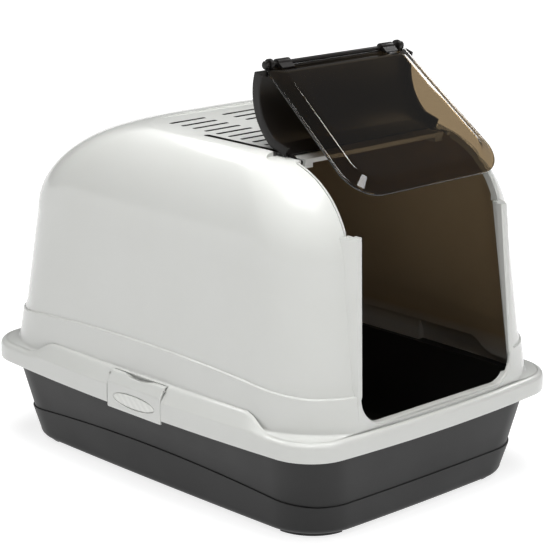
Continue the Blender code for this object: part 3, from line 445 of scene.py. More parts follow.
def with_height(ring, z):
    """(x, y) points with a height added."""
    return np.concatenate([ring, np.broadcast_to(np.asarray(z, float)[..., None], (*ring.shape[:-1], 1))], -1)


def rounded_box(x0, x1, y0, y1, radius, steps=8):
    """Rectangle with quarter-circle corners, anticlockwise."""
    t = np.linspace(0, math.pi / 2, steps + 1)
    centres = ((x1 - radius, y1 - radius), (x0 + radius, y1 - radius), (x0 + radius, y0 + radius),
               (x1 - radius, y0 + radius))
    return np.concatenate([np.stack([cx + radius * np.cos(t + k * math.pi / 2),
                                     cy + radius * np.sin(t + k * math.pi / 2)], -1)
                           for k, (cx, cy) in enumerate(centres)])


def circle(cy, cz, radius, steps=28):
    """Points centre + radius (cos t, sin t) with t even."""
    t = np.linspace(0, 2 * math.pi, steps, endpoint=False)
    return np.stack([cy + radius * np.cos(t), cz + radius * np.sin(t)], -1)


# ---- meshes -------------------------------------------------------------------------------------------------
def body_from(rings):
    """Points and faces of a closed body: rings (R, N, 3) joined row by row, with a flat face over each end."""
    rows, count = rings.shape[:2]
    here = np.arange(rows * count).reshape(rows, count)
    ahead = np.roll(here, -1, axis=1)
    quads = np.stack([here[:-1], ahead[:-1], ahead[1:], here[1:]], axis=-1).reshape(-1, 4)
    return rings.reshape(-1, 3), quads.tolist() + [here[0, ::-1].tolist(), here[-1].tolist()]


def new_object(name, bodies, finish):
    """One object from closed bodies given as ring arrays, with its faces turned outwards."""
    points, faces = [], []
    for rings in bodies:
        start = sum(len(p) for p in points)
        more_points, more_faces = body_from(np.asarray(rings, float))
        points.append(more_points)
        faces += [[start + i for i in face] for face in more_faces]
    mesh = bpy.data.meshes.new(name)
    mesh.from_pydata(np.concatenate(points).tolist(), [], faces)
    mesh.materials.append(finish)
    bm = bmesh.new()
    bm.from_mesh(mesh)
    bmesh.ops.recalc_face_normals(bm, faces=bm.faces)
    bm.to_mesh(mesh)
    bm.free()
    made = bpy.data.objects.new(name, mesh)
    bpy.context.collection.objects.link(made)
    return made


def shade(made, degrees=32):
    """Smooth shading, with an edge kept sharp where its faces meet at more than the angle."""
    made.data.shade_smooth()
    made.data.set_sharp_from_angle(angle=math.radians(degrees))


def combined(base, steps):
    """Carries out exact cuts and unions on base, one by one, and removes the helper objects."""
    helpers = []
    for operation, helper in steps:
        step = base.modifiers.new(operation.title(), "BOOLEAN")
        step.operation = operation
        step.solver = "EXACT"
        step.material_mode = "TRANSFER"
        step.object = helper
        helpers.append(helper)
    bpy.context.view_layer.update()
    result = bpy.data.meshes.new_from_object(base.evaluated_get(bpy.context.evaluated_depsgraph_get()))
    base.modifiers.clear()
    base.data = result
    for helper in set(helpers):
        bpy.data.objects.remove(helper)


def prism(outline, axis, low, high):
    """Rings of a straight body: a plane outline carried along one axis from low to high."""
    outline = np.asarray(outline, float)
    return np.stack([np.insert(outline, axis, w, axis=1) for w in (low, high)])


def eased_prism(outline, inner, axis, low, high, ease):
    """Prism whose outline shrinks to inner over the last stretch, ease, at both ends, as a quarter circle."""
    outline = np.asarray(outline, float)
    inner = np.asarray(inner, float)
    t = np.linspace(0, math.pi / 2, 4)
    levels = [(low + ease * (1 - math.sin(k)), 1 - math.cos(k)) for k in t[::-1]]
    levels += [(high - ease * (1 - math.sin(k)), 1 - math.cos(k)) for k in t]
    return np.stack([np.insert(outline + (inner - outline) * share, axis, w, axis=1) for w, share in levels])


def block(x0, x1, y0, y1, z0, z1):
    """Rings of a square-edged body between two corners."""
    return prism([(x0, y0), (x1, y0), (x1, y1), (x0, y1)], 2, z0, z1)


def side_block(way, near, far, y0, y1, z0, z1):
    """Block between two distances from the middle, on the side that way (-1 or 1) names."""
    x0, x1 = sorted((way * near, way * far))
    return block(x0, x1, y0, y1, z0, z1)


def across(outline, way, near, far):
    """A (y, z) outline carried along X between two distances from the middle, on one side."""
    return prism(outline, 0, *sorted((way * near, way * far)))


# ---- hood ---------------------------------------------------------------------------------------------------
def wall_rings(z, inward):
    """Rings of the hood's wall above the step: straight lean up to SPRING_Z, then a quarter ellipse to the roof.

    Over the quarter ellipse the back half of each ring also draws in, so the roof falls away to the back.
    """
    z = np.asarray(z, float)
    up = np.minimum(z, SPRING_Z) - LEDGE_Z
    turn = 1 - np.sqrt(np.maximum(0, 1 - (np.maximum(z - SPRING_Z, 0) / ROUND_HEIGHT) ** 2))
    fade = 1 - 0.9 * turn
    b = BAND_B - STEP_DEPTH - LEAN_END * up - ROUND_END * turn
    rings = bowed_rings(BAND_A - STEP_DEPTH - LEAN_SIDE * up - ROUND_SIDE * turn - inward, b - inward,
                        WALL_CORNER + (ROOF_CORNER - WALL_CORNER) * turn - inward,
                        (WALL_BOW[0] * fade, WALL_BOW[1] * fade))
    drawn = 1 - BACK_FALL * turn
    drawn = (drawn - inward * (1 - drawn) / b)[:, None]
    rings[..., 1] *= np.where(rings[..., 1] > 0, drawn, 1)
    return rings


def band_rings(z, inset):
    """Rings of the wall below the step at heights z, moved inwards by inset."""
    up = np.asarray(z, float) - LEDGE_Z
    return bowed_rings(BAND_A - inset - LEAN_SIDE * up, BAND_B - inset - LEAN_END * up, WALL_CORNER - inset, WALL_BOW)


def rim_rings(path):
    """The rim's outline moved inwards along its own normals: path is (K, N, 2) of inset and height."""
    outline = bowed_rings(RIM_A, RIM_B, RIM_CORNER, RIM_BOW)[0]
    tangent = np.roll(outline, -1, axis=0) - np.roll(outline, 1, axis=0)
    normal = np.stack([tangent[:, 1], -tangent[:, 0]], -1)
    normal /= np.linalg.norm(normal, axis=1, keepdims=True)
    return with_height(outline - normal * path[..., :1], path[..., 1])


def outer_skin():
    """Rings of the hood's outside: rounded rim, hollow ledge, band, step, wall and the rounding into the roof."""
    outline = bowed_rings(RIM_A, RIM_B, RIM_CORNER, RIM_BOW)[0]
    t = shoulder(outline)[:, None]
    flat = np.ones_like(t)
    low = np.concatenate([flat * 0.0005, flat * RIM_Z], 1)
    heel = np.concatenate([flat * 0.0, flat * (RIM_Z + RIM_BOTTOM_ROUND)], 1)
    ridge = np.concatenate([flat * 0.0, flat * LEDGE_Z], 1)
    crest = np.concatenate([0.0088 + t * 0.0037, LEDGE_Z + t * SHOULDER_RISE], 1)
    foot = np.concatenate([0.0098 + t * 0.0067, LEDGE_Z + t * (SHOULDER_RISE + 0.0006)], 1)
    rim = rim_rings(softened([low, heel, ridge, crest, foot],
                             [0.0005, 0.0086 - t * 0.0064, 0.0009 + t * 0.0030], steps=9))
    z_foot = LEDGE_Z + t[:, 0] * SHOULDER_RISE
    wall_foot = with_height(band_rings([LEDGE_Z], 0.0)[0], z_foot + VALLEY)
    phi = np.linspace(0, math.pi / 2, 7)[1:, None, None]
    last = rim[-1]
    hollow = np.concatenate([last[:, :2] + (wall_foot - last)[:, :2] * np.sin(phi),
                             last[:, 2:] + (wall_foot - last)[:, 2:] * (1 - np.cos(phi))], -1)
    probe = band_rings([STEP_Z], 0.0)[0]
    step = STEP_Z + STEP_ARCH * side_arch(probe)
    levels = np.linspace(0, 1, 6)[1:, None]
    heights = (z_foot + VALLEY) + (step - STEP_ROUND * 1.5 - z_foot - VALLEY) * levels
    up = levels[:, 0] * (STEP_Z - LEDGE_Z) + LEDGE_Z
    band = with_height(band_rings(up, 0.0), heights)
    edge = softened([(0.0, -STEP_ROUND * 1.4), (0.0, 0.0), (STEP_DEPTH, 0.0007), (STEP_DEPTH, 0.004)],
                    [STEP_ROUND, 0.0008], steps=6)
    ledge = with_height(band_rings(np.full(len(edge), STEP_Z), edge[:, 0]), step + edge[:, 1:])
    clear = STEP_Z + STEP_CLEAR
    lower = np.linspace(0, 1, 8)[1:-1, None]
    blend = with_height(wall_rings(STEP_Z + 0.004 + lower[:, 0] * (STEP_CLEAR - 0.004), 0.0),
                        (step + 0.004) + (clear - step - 0.004) * lower)
    theta = np.linspace(0, math.pi / 2, 34)
    z = np.concatenate([np.linspace(clear, SPRING_Z, 6)[:-1], SPRING_Z + ROUND_HEIGHT * np.sin(theta)])
    upper = with_height(wall_rings(z, 0.0), np.repeat(z[:, None], len(outline), 1))
    return np.concatenate([rim, hollow, band, ledge, blend, upper])


def inner_skin():
    """Rings of the hood's inside, a wall's thickness within the outside, with the shelf that rests on the tray."""
    outline = bowed_rings(RIM_A, RIM_B, RIM_CORNER, RIM_BOW)[0]
    t = shoulder(outline)[:, None]
    flat = np.ones_like(t)
    shelf = WALL + FLANGE_CLEARANCE + 0.0022
    corners = [np.concatenate([flat * inset + t * more, flat * z + t * rise], 1) for inset, more, z, rise in (
        (WALL, 0.0, RIM_Z - WALL, 0.0), (WALL, 0.0, FLANGE_Z + GAP, 0.0), (shelf, 0.0, FLANGE_Z + GAP, 0.0),
        (shelf, 0.0, LEDGE_Z - WALL, 0.0), (0.0100, 0.0040, LEDGE_Z - WALL, SHOULDER_RISE - 0.0006))]
    rim = rim_rings(np.stack(corners))
    probe = band_rings([STEP_Z], WALL)[0]
    step = STEP_Z - WALL + STEP_ARCH * side_arch(probe)
    z_foot = LEDGE_Z - WALL + t[:, 0] * SHOULDER_RISE
    band = with_height(band_rings([LEDGE_Z, STEP_Z], WALL), np.stack([z_foot, step]))
    ledge = with_height(band_rings([STEP_Z], WALL + STEP_DEPTH), step[None] + 0.0008)
    clear = STEP_Z + STEP_CLEAR
    theta = np.linspace(0, math.pi / 2, 20)
    z = np.concatenate([[clear], SPRING_Z + ROUND_HEIGHT * np.sin(theta)])
    lowered = z - WALL * np.maximum(0, (z - SPRING_Z) / ROUND_HEIGHT)
    upper = with_height(wall_rings(z, WALL), np.repeat(lowered[:, None], len(outline), 1))
    return np.concatenate([rim, band, ledge, upper])


def frame_face(z):
    """y of the entrance frame's flat face at height z."""
    b = BAND_B - STEP_DEPTH - LEAN_END * (SPRING_Z - LEDGE_Z)
    b -= ROUND_END * (1 - math.sqrt(1 - ((NOTCH_Z - SPRING_Z) / ROUND_HEIGHT) ** 2))
    return -(b + FRAME_PROUD) - FRAME_LEAN * (NOTCH_Z - z)


def doorway_half(z):
    """Half width of the doorway, which grows evenly downwards."""
    return DOORWAY_TOP_HALF + DOORWAY_FLARE * (NOTCH_Z - z)


LIP_Y = frame_face(NOTCH_Z) + CUT_BACK


def panel_size():
    """Half width, front and back of the vent panel."""
    roof = wall_rings(np.array([ROOF_Z]), 0.0)[0]
    return roof[:, 0].max() + PANEL_OVERHANG, LIP_Y + PANEL_FRONT_MARGIN, PANEL_BACK


def doorway_outline(grown):
    """Doorway in (x, z), grown outwards: round lower corners, sides flaring downwards, cut off at the top."""
    half = doorway_half(SILL_Z)
    radius = DOORWAY_CORNER
    t = np.linspace(-math.pi / 2, 0, 14)
    right = np.stack([half - radius + (radius + grown) * np.cos(t), SILL_Z + radius + (radius + grown) * np.sin(t)], -1)
    right = np.concatenate([right, [(doorway_half(SILL_Z + radius) + grown, SILL_Z + radius + 0.004),
                                    (doorway_half(NOTCH_Z) + grown, NOTCH_Z + MARGIN)]])
    return np.concatenate([right, right[::-1] * (-1, 1)])


def leaning(outline, depth):
    """Outline (x, z) placed a depth behind the frame's leaning face."""
    y = np.array([frame_face(z) for z in outline[:, 1]]) + depth
    return np.stack([outline[:, 0], y, outline[:, 1]], -1)


def doorway_cutter():
    """The doorway with a rounded front edge: its outline grows as a quarter circle towards the frame's face."""
    t = np.linspace(0, math.pi / 2, 5)
    depths = [(-MARGIN, DOORWAY_ROUND)] + [(DOORWAY_ROUND * math.sin(k), DOORWAY_ROUND * (1 - math.sin(k)))
                                           for k in t] + [(CUT_BACK * 0.75, 0.0)]
    return np.stack([leaning(doorway_outline(grown), depth) for depth, grown in depths])


def frame_plate():
    """Entrance frame: flat leaning face with sloping sides that run out into the wall lower down."""
    rings = []
    for share in np.linspace(0, 1, 9):
        z = (LEDGE_Z - 0.002) + (NOTCH_Z - LEDGE_Z + 0.002) * share
        face = frame_face(z)
        half = doorway_half(z) + FRAME_BORDER - 0.003 * (1 - share)
        slope = 0.0025 + (FRAME_BEVEL - 0.0025) * share
        depth = 0.006 + (FRAME_DEPTH - 0.006) * share
        side = softened([(half - 0.020, face), (half, face), (half + slope, face + depth),
                         (half + slope, face + depth + 0.002)], [0.0010, 0.0004], steps=4)
        plan = np.concatenate([side, side[::-1] * (-1, 1)])
        rings.append(with_height(plan, np.full(len(plan), z)))
    return np.stack(rings)


def cut_edge_curve(skin):
    """Where the plane x = CUT_HALF meets the hood's outside at the front: (y, z) by interpolation in each ring."""
    front = skin[:, skin.shape[1] // 2:, :]
    path = []
    for ring in front:
        right = ring[(ring[:, 0] > 0.3 * CUT_HALF) & (ring[:, 1] < 0)]
        order = np.argsort(right[:, 0])
        path.append((np.interp(CUT_HALF, right[order, 0], right[order, 1]), right[0, 2]))
    path = np.array(path)
    return path[(path[:, 1] > NOTCH_Z + 0.002) & (path[:, 0] < LIP_Y + 0.004)]


def cut_edge_bead(skin, way):
    """Bead along one side of the visor's cut-out: the edge's curve, offset outwards and inwards, carried over X."""
    path = cut_edge_curve(skin)
    slope = np.gradient(path, axis=0)
    normal = np.stack([-slope[:, 1], slope[:, 0]], -1)
    normal /= np.linalg.norm(normal, axis=1, keepdims=True)
    outer = path + normal * LIP_PROUD
    inner = path - normal * LIP_DEPTH
    inner = inner[inner[:, 1] > NOTCH_Z + 0.001]
    start = np.array([(outer[0, 0], NOTCH_Z - 0.001)])
    below = np.array([(inner[0, 0], NOTCH_Z - 0.001)])
    outline = np.concatenate([start, outer, inner[::-1], below])
    return across(outline, way, CUT_HALF - 0.0002, CUT_HALF + LIP_WIDTH)


def sunk(x0, x1, y0, y1, floor):
    """Rings of a cutter for a sunk panel: its outline grows as a quarter circle where it meets the roof."""
    t = np.linspace(0, math.pi / 2, 6)
    radius = min(PANEL_ROUND, (ROOF_Z - floor) * 0.95)
    grown = radius * (1 - np.cos(t))
    heights = ROOF_Z - radius * (1 - np.sin(t))
    levels = [(0.0, floor)] + list(zip(grown, heights)) + [(grown[-1], ROOF_Z + MARGIN)]
    return np.stack([with_height(rounded_box(x0 - g, x1 + g, y0 - g, y1 + g, PANEL_CORNER + g), np.full(36, z))
                     for g, z in levels])


def make_hood(white, taupe, slot_painted_shade):
    """Outer skin less the cavity, vent panel, latch pockets and slots, with the frame, beads, lip, hooks and rails."""
    skin = outer_skin()
    hood = new_object("hood_shell", [skin], white)
    half, front, back = panel_size()
    high = ROOF_Z + MARGIN
    floor = ROOF_Z - PANEL_SINK
    recess = sunk(-half, half, front, back, floor)
    well = sunk(-half, half, front, WELL_BACK, PANEL_Z)
    cavity = new_object("cavity", [inner_skin()], taupe)
    wide = rounded_box(-half - WALL, half + WALL, front - WALL, back + WALL, PANEL_CORNER + WALL)
    start = LIP_Y - MARGIN / 2
    reach = (LATCH_HIGH[1] - LATCH_LOW[1]) / 2 + 0.0008
    pocket = LATCH_LOW[0] + 0.0033 - 0.0065
    tall = LEDGE_Z + SHOULDER_RISE + MARGIN
    wide_well = rounded_box(-half - WALL, half + WALL, front - WALL, WELL_BACK + WALL, PANEL_CORNER + WALL)
    combined(cavity, [
        ("DIFFERENCE", new_object("wide_recess", [prism(wide, 2, floor - WALL, high)], taupe)),
        ("DIFFERENCE", new_object("wide_well", [prism(wide_well, 2, PANEL_Z - WALL, high)], taupe)),
        ("DIFFERENCE", new_object("wide_channel", [
            block(-CUT_HALF - WALL, CUT_HALF + WALL, start - MARGIN / 2, front + PANEL_CORNER, PANEL_Z - WALL, high)],
            taupe)),
        ("DIFFERENCE", new_object("pocket_walls", [
            side_block(way, pocket - WALL, RIM_A + MARGIN, LATCH_Y - reach - WALL, LATCH_Y + reach + WALL,
                       FLANGE_Z + GAP, tall) for way in (-1, 1)], taupe))])
    rows = [back - SLOT_BACK_MARGIN - SLOT_PITCH * k for k in range(SLOT_ROWS)]
    grille = half - GRILLE_MARGIN
    length = (2 * grille - (SLOT_COLUMNS - 1) * SLOT_COLUMN_GAP) / SLOT_COLUMNS
    starts = [-grille + column * (length + SLOT_COLUMN_GAP) for column in range(SLOT_COLUMNS)]
    low = PANEL_Z - 2 * WALL
    slots = [prism(rounded_box(x, x + length, y - SLOT_WIDTH / 2, y + SLOT_WIDTH / 2, 0.0015, 3), 2, low, ROOF_Z)
             for x in starts for y in rows]
    hand_front = LIP_Y + HAND_SLOT_FRONT
    for way in (-1, 1):
        x0, x1 = sorted((way * (half - HAND_SLOT_EDGE - HAND_SLOT_WIDTH), way * (half - HAND_SLOT_EDGE)))
        slots.append(prism(rounded_box(x0, x1, hand_front, hand_front + HAND_SLOT_LENGTH, 0.0042, 5), 2, low, ROOF_Z))
    lip = [block(-CUT_HALF - WALL / 2, CUT_HALF + WALL / 2, LIP_Y, LIP_Y + WALL, PANEL_Z - ROOF_LIP_DEPTH,
                 PANEL_Z - WALL / 2)]
    pin_x, pin_z = (PIN_LOW[0] + PIN_HIGH[0]) / 2, (PIN_LOW[2] + PIN_HIGH[2]) / 2
    bores = [prism(circle(way * pin_x, pin_z, 0.002, 16), 1, LATCH_Y - reach - WALL - GAP, LATCH_Y + reach + WALL + GAP)
             for way in (-1, 1)]
    inner = ARM_X - ARM_THICKNESS / 2 - HINGE_PIN_REACH + 0.002
    outer = ARM_X - ARM_THICKNESS / 2 - 0.002
    hooks = [side_block(way, inner, outer, LIP_Y + WALL / 2, AXIS_Y + 0.007, AXIS_Z - 0.0065, PANEL_Z - WALL / 2)
             for way in (-1, 1)]
    arm_slots = [side_block(way, ARM_X - ARM_THICKNESS, ARM_X + ARM_THICKNESS, LIP_Y - MARGIN / 2, AXIS_Y + 0.0235,
                            PANEL_Z - 0.013, ROOF_Z) for way in (-1, 1)]
    hinge_bores = [across(circle(AXIS_Y, AXIS_Z, HINGE_PIN_RADIUS + 0.0005), way, inner - 0.002, outer + 0.002)
                   for way in (-1, 1)]
    edge = HOLDER_HIGH[0]
    rail_floor = HOLDER_LOW[2] - GAP
    rails = []
    for way in (-1, 1):
        rails.append(side_block(way, edge + GAP, edge + GAP + WALL, HOLDER_LOW[1], rows[0] + 0.006, rail_floor - WALL,
                                floor - WALL / 2))
        rails.append(side_block(way, edge - 0.004, edge + GAP + WALL / 2, HOLDER_LOW[1], rows[0] + 0.006,
                                rail_floor - WALL, rail_floor))
    rabbet = [np.stack([leaning(np.array([(-doorway_half(z) - 0.006, z), (doorway_half(z) + 0.006, z)]), d)
                        for z, d in ((z0, d0), (z0, 0.06), (z1, 0.06), (z1, d1))]).reshape(4, 2, 3)
              for z0, d0, z1, d1 in ((SILL_Z + 0.01, 0.004, NOTCH_Z + 0.001, RETURN_DEPTH),)]
    rabbet = [np.stack([r[:, 0], r[:, 1]]) for r in rabbet]
    combined(hood, [
        ("DIFFERENCE", new_object("recess", [recess], white)),
        ("DIFFERENCE", new_object("well", [well], white)),
        ("DIFFERENCE", new_object("channel", [block(-CUT_HALF, CUT_HALF, start, front + PANEL_CORNER, PANEL_Z, high)],
                                  white)),
        ("DIFFERENCE", new_object("pockets", [
            side_block(way, pocket, RIM_A + MARGIN, LATCH_Y - reach, LATCH_Y + reach, RIM_Z - MARGIN, tall)
            for way in (-1, 1)], white)),
        ("DIFFERENCE", cavity),
        ("UNION", new_object("plate", [frame_plate()], white)),
        ("DIFFERENCE", new_object("rabbet", rabbet, white)),
        ("DIFFERENCE", new_object("doorway", [doorway_cutter()], white)),
        ("DIFFERENCE", new_object("visor_cut", [block(-CUT_HALF, CUT_HALF, -RIM_B, LIP_Y, NOTCH_Z, high)], white)),
        ("UNION", new_object("beads", [cut_edge_bead(skin, way) for way in (-1, 1)], white)),
        ("UNION", new_object("lip", lip, white)),
        ("UNION", new_object("hooks", hooks, white)),
        ("DIFFERENCE", new_object("arm_slots", arm_slots, white)),
        ("DIFFERENCE", new_object("hinge_bores", hinge_bores, white)),
        # The slots' cut walls take the black finish: painted shade inside the slots of the white hood.
        ("DIFFERENCE", new_object("slots", slots, slot_painted_shade)),
        ("DIFFERENCE", new_object("pin_bores", bores, white)),
        ("UNION", new_object("rails", rails, white))])
    shade(hood)
    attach(hood, "hood")
    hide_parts("hood")


# ---- tray ---------------------------------------------------------------------------------------------------
def tray_rings(inward):
    """Rings of the tray's wall: rounded bottom edge, straight taper, bead, and on up to the flange."""
    base_z = TRAY_BASE_Z + inward
    top_z = FLANGE_Z - WALL

    def ring(share, inset):
        """The tray's outline at a share of its taper, moved inwards by inset."""
        a = RIM_A - TRAY_SIDE_INSET - inward - TRAY_TAPER_SIDE * (1 - share) - inset
        b = RIM_B - TRAY_END_INSET - inward - TRAY_TAPER_END * (1 - share) - inset
        return bowed_rings(a, b, TRAY_CORNER - inward, TRAY_BOW)[0]

    probe = ring(0.4, 0.0)
    arch = TRAY_GROOVE_ARCH * side_arch(probe)
    rings = []
    for k in np.linspace(0, math.pi / 2, 7):
        inset = TRAY_BOTTOM_ROUND * (1 - math.sin(k))
        level = base_z + TRAY_BOTTOM_ROUND * (1 - math.cos(k))
        rings.append(with_height(ring(0.0, inset), np.full(len(probe), level)))
    groove = (TRAY_GROOVE_Z - base_z) / (FLANGE_Z - base_z)
    bead = softened([(0.0, -0.0012), (0.0, 0.0), (TRAY_BEAD, 0.0006), (TRAY_BEAD, 0.0016)],
                    [0.0003, 0.0003], steps=4) if not inward else np.array([(0.0, -0.001), (0.0, 0.001)])
    for inset, rise in bead:
        rings.append(with_height(ring(groove, inset), TRAY_GROOVE_Z + arch + rise))
    for share in (0.35, 0.7, 1.0):
        z = TRAY_GROOVE_Z + arch + 0.0016 + (top_z - TRAY_GROOVE_Z - arch - 0.0016) * share
        rings.append(with_height(ring(groove + (1 - groove) * share, 0.0 if inward else TRAY_BEAD * (1 - share)), z))
    return np.stack(rings)


def make_tray(charcoal):
    """One loft: up the outside, over the flange and down the inside; the feet are added under its corners."""
    inset = WALL + FLANGE_CLEARANCE
    edge = softened([(inset + 0.002, FLANGE_Z - WALL), (inset, FLANGE_Z - WALL), (inset, FLANGE_Z),
                     (inset + 0.004, FLANGE_Z)], [0.0008, 0.0008], steps=4)
    flange = rim_rings(np.repeat(edge[:, None, :], 4 * (SIDE_STEPS + CORNER_STEPS + END_STEPS), axis=1))
    inner = tray_rings(WALL)
    inner[-1, :, 2] = FLANGE_Z - 0.0008
    lead = inner[-1:].copy()
    lead[0, :, 2] = FLANGE_Z
    lead[0, :, :2] *= 1.004
    tray = new_object("tray_shell", [np.concatenate([tray_rings(0.0), flange, lead, inner[::-1]])], charcoal)
    a = RIM_A - TRAY_SIDE_INSET - TRAY_TAPER_SIDE - FOOT_INSET
    b = RIM_B - TRAY_END_INSET - TRAY_TAPER_END - FOOT_INSET
    outside = bowed_rings(a, b, TRAY_CORNER - FOOT_INSET, TRAY_BOW)[0]
    inside = bowed_rings(a - FOOT_WIDTH, b - FOOT_WIDTH, TRAY_CORNER - FOOT_INSET - FOOT_WIDTH, TRAY_BOW)[0]
    quarter = SIDE_STEPS + CORNER_STEPS + END_STEPS
    feet = []
    for corner in range(4):
        first = corner * quarter + (SIDE_STEPS if corner % 2 == 0 else END_STEPS)
        picks = (first + np.arange(CORNER_STEPS + 1)) % len(outside)
        outline = np.concatenate([outside[picks], inside[picks[::-1]]])
        small = outline.mean(axis=0) + (outline - outline.mean(axis=0)) * 0.985
        feet.append(np.stack([with_height(small, np.zeros(len(small))),
                              with_height(outline, np.full(len(small), 0.0008)),
                              with_height(outline, np.full(len(small), TRAY_BASE_Z + WALL / 2))]))
    combined(tray, [("UNION", new_object("feet", feet, charcoal))])
    shade(tray)
    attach(tray, "tray")
    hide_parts("tray")


# ---- visor --------------------------------------------------------------------------------------------------
def turned(points, degrees):
    """(y, z) points turned about the visor's axis."""
    turn = math.radians(degrees)
    offset = np.asarray(points, float) - (AXIS_Y, AXIS_Z)
    rotation = np.array([[math.cos(turn), math.sin(turn)], [-math.sin(turn), math.cos(turn)]])
    return (AXIS_Y, AXIS_Z) + offset @ rotation


def visor_curve(inward):
    """Section of the open visor: an arc of VISOR_RADIUS from its front edge, then straight to its rear edge."""
    rod_y, rod_z = turned([(ROD_Y, ROD_Z)], VISOR_TRAVEL)[0]
    middle = np.array([rod_y - 0.0010 + VISOR_RADIUS, rod_z - 0.004])
    t = np.radians(np.linspace(172, 101, 40))
    bend = middle + (VISOR_RADIUS - inward) * np.stack([np.cos(t), np.sin(t)], -1)
    tail = [(AXIS_Y - SHELL_LAP, AXIS_Z + SHELL_RISE - inward)]
    return turned(np.concatenate([bend, tail]), -VISOR_TRAVEL)


def door_stop():
    """Bar under the rod that closes the gap between the visor's front edge and the door's top, as (y, z)."""
    edge = visor_curve(WALL / 2)[1]
    rod = np.array([ROD_Y, ROD_Z])
    reach = (rod - edge) / np.linalg.norm(rod - edge)
    return strip(edge, rod - reach * (ROD_RADIUS + 0.0012), 0.0012)


def visor_band(outer, inner):
    """Closed (y, z) outline between the visor's curve at two depths."""
    return np.concatenate([visor_curve(outer), visor_curve(inner)[::-1]])


def strip(start, end, half_width):
    """Outline of a flat bar between two (y, z) points."""
    start, end = np.asarray(start, float), np.asarray(end, float)
    along = (end - start) / np.linalg.norm(end - start)
    side = np.array([-along[1], along[0]]) * half_width
    return np.array([start + side, start - side, end - side, end + side])


def make_visor(black):
    """Curved shell carried across X, with flanges, ears, hinge arms and pins; then the rod and its two knobs."""
    half = CUT_HALF - VISOR_CLEARANCE
    shell = new_object("visor_shell", [eased_prism(visor_band(0.0, WALL), visor_band(WALL * 0.3, WALL), 0, -half, half,
                                                   WALL * 0.4)], black)
    side = visor_band(WALL * 0.35, VISOR_SIDE_DEPTH)
    small = visor_band(WALL * 0.6, VISOR_SIDE_DEPTH - 0.0006)
    bead = visor_band(VISOR_SIDE_DEPTH - 0.0022, VISOR_SIDE_DEPTH + 0.0006)
    ear_far = ROD_HALF - 0.0005
    ear_near = ear_far - EAR_THICKNESS
    bridge = strip(visor_curve(WALL / 2)[3], (ROD_Y, ROD_Z), 0.0035)
    tail = turned([(AXIS_Y - SHELL_LAP - 0.001, AXIS_Z + SHELL_RISE - WALL / 2)], -VISOR_TRAVEL)[0]
    arm = strip(tail, (AXIS_Y, AXIS_Z), ARM_HALF_HEIGHT)
    near, far = ARM_X - ARM_THICKNESS / 2, ARM_X + ARM_THICKNESS / 2
    steps = [("UNION", new_object("door_stop", [prism(door_stop(), 0, -ear_near, ear_near)], black))]
    for way in (-1, 1):
        x0, x1 = sorted((way * (half - WALL), way * half))
        steps.append(("UNION", new_object("flange", [eased_prism(side, small, 0, x0, x1, 0.0007)], black)))
        x0, x1 = sorted((way * (half - WALL - 0.0012), way * (half - 0.0004)))
        steps.append(("UNION", new_object("flange_bead", [prism(bead, 0, x0, x1)], black)))
        x0, x1 = sorted((way * ear_near, way * ear_far))
        ear = eased_prism(circle(ROD_Y, ROD_Z, EAR_RADIUS), circle(ROD_Y, ROD_Z, EAR_RADIUS - 0.0008), 0, x0, x1,
                          0.0008)
        steps.append(("UNION", new_object("ear", [ear], black)))
        steps.append(("UNION", new_object("ear_bridge", [across(bridge, way, ear_near, ear_far)], black)))
        steps.append(("DIFFERENCE", new_object("ear_bore", [across(circle(ROD_Y, ROD_Z, ROD_RADIUS + GAP), way,
                                                                   ear_near - 0.01, ear_far + 0.01)], black)))
        steps.append(("UNION", new_object("arm", [across(arm, way, near, far)], black)))
        steps.append(("UNION", new_object("eye", [across(circle(AXIS_Y, AXIS_Z, HINGE_PIN_RADIUS + 0.001), way, near,
                                                         far)], black)))
        steps.append(("UNION", new_object("pin", [across(circle(AXIS_Y, AXIS_Z, HINGE_PIN_RADIUS), way,
                                                         near - HINGE_PIN_REACH, ARM_X)], black)))
    combined(shell, steps)
    shade(shell)
    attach(shell, "visor")
    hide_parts("visor")

    reach = ROD_HALF + 0.001
    full, end = circle(ROD_Y, ROD_Z, ROD_RADIUS), circle(ROD_Y, ROD_Z, ROD_RADIUS * 0.8)
    rod = new_object("door_rod_skin", [eased_prism(full, end, 0, -reach, reach, 0.0006)], black)
    shade(rod)
    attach(rod, "visor")
    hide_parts("door_rod")
    for way, label in ((-1, "left"), (1, "right")):
        radius = (KNOB_HIGH[2] - KNOB_LOW[2]) / 2
        x0, x1 = sorted((way * KNOB_LOW[0], way * KNOB_HIGH[0]))
        t = np.linspace(0, 2 * math.pi, 48, endpoint=False)
        ribbed = (radius - 0.0004 + 0.0004 * np.cos(12 * t))[:, None] * np.stack([np.cos(t), np.sin(t)], -1)
        outline = ribbed + (ROD_Y, ROD_Z)
        knob = new_object("rod_knob_skin_" + label,
                          [eased_prism(outline, (outline - (ROD_Y, ROD_Z)) * 0.78 + (ROD_Y, ROD_Z), 0, x0, x1, 0.0012)],
                          black)
        shade(knob)
        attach(knob, "visor")
        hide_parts("rod_knob_" + label)


# ---- door ---------------------------------------------------------------------------------------------------
def door_place(x, down, out):
    """Points of the door: across, down from the rod's axis, and out from the door's rim plane."""
    cos, sin = math.cos(DOOR_ANGLE), math.sin(DOOR_ANGLE)
    return np.stack([x, ROD_Y + down * cos + out * sin, ROD_Z + down * sin - out * cos], -1)


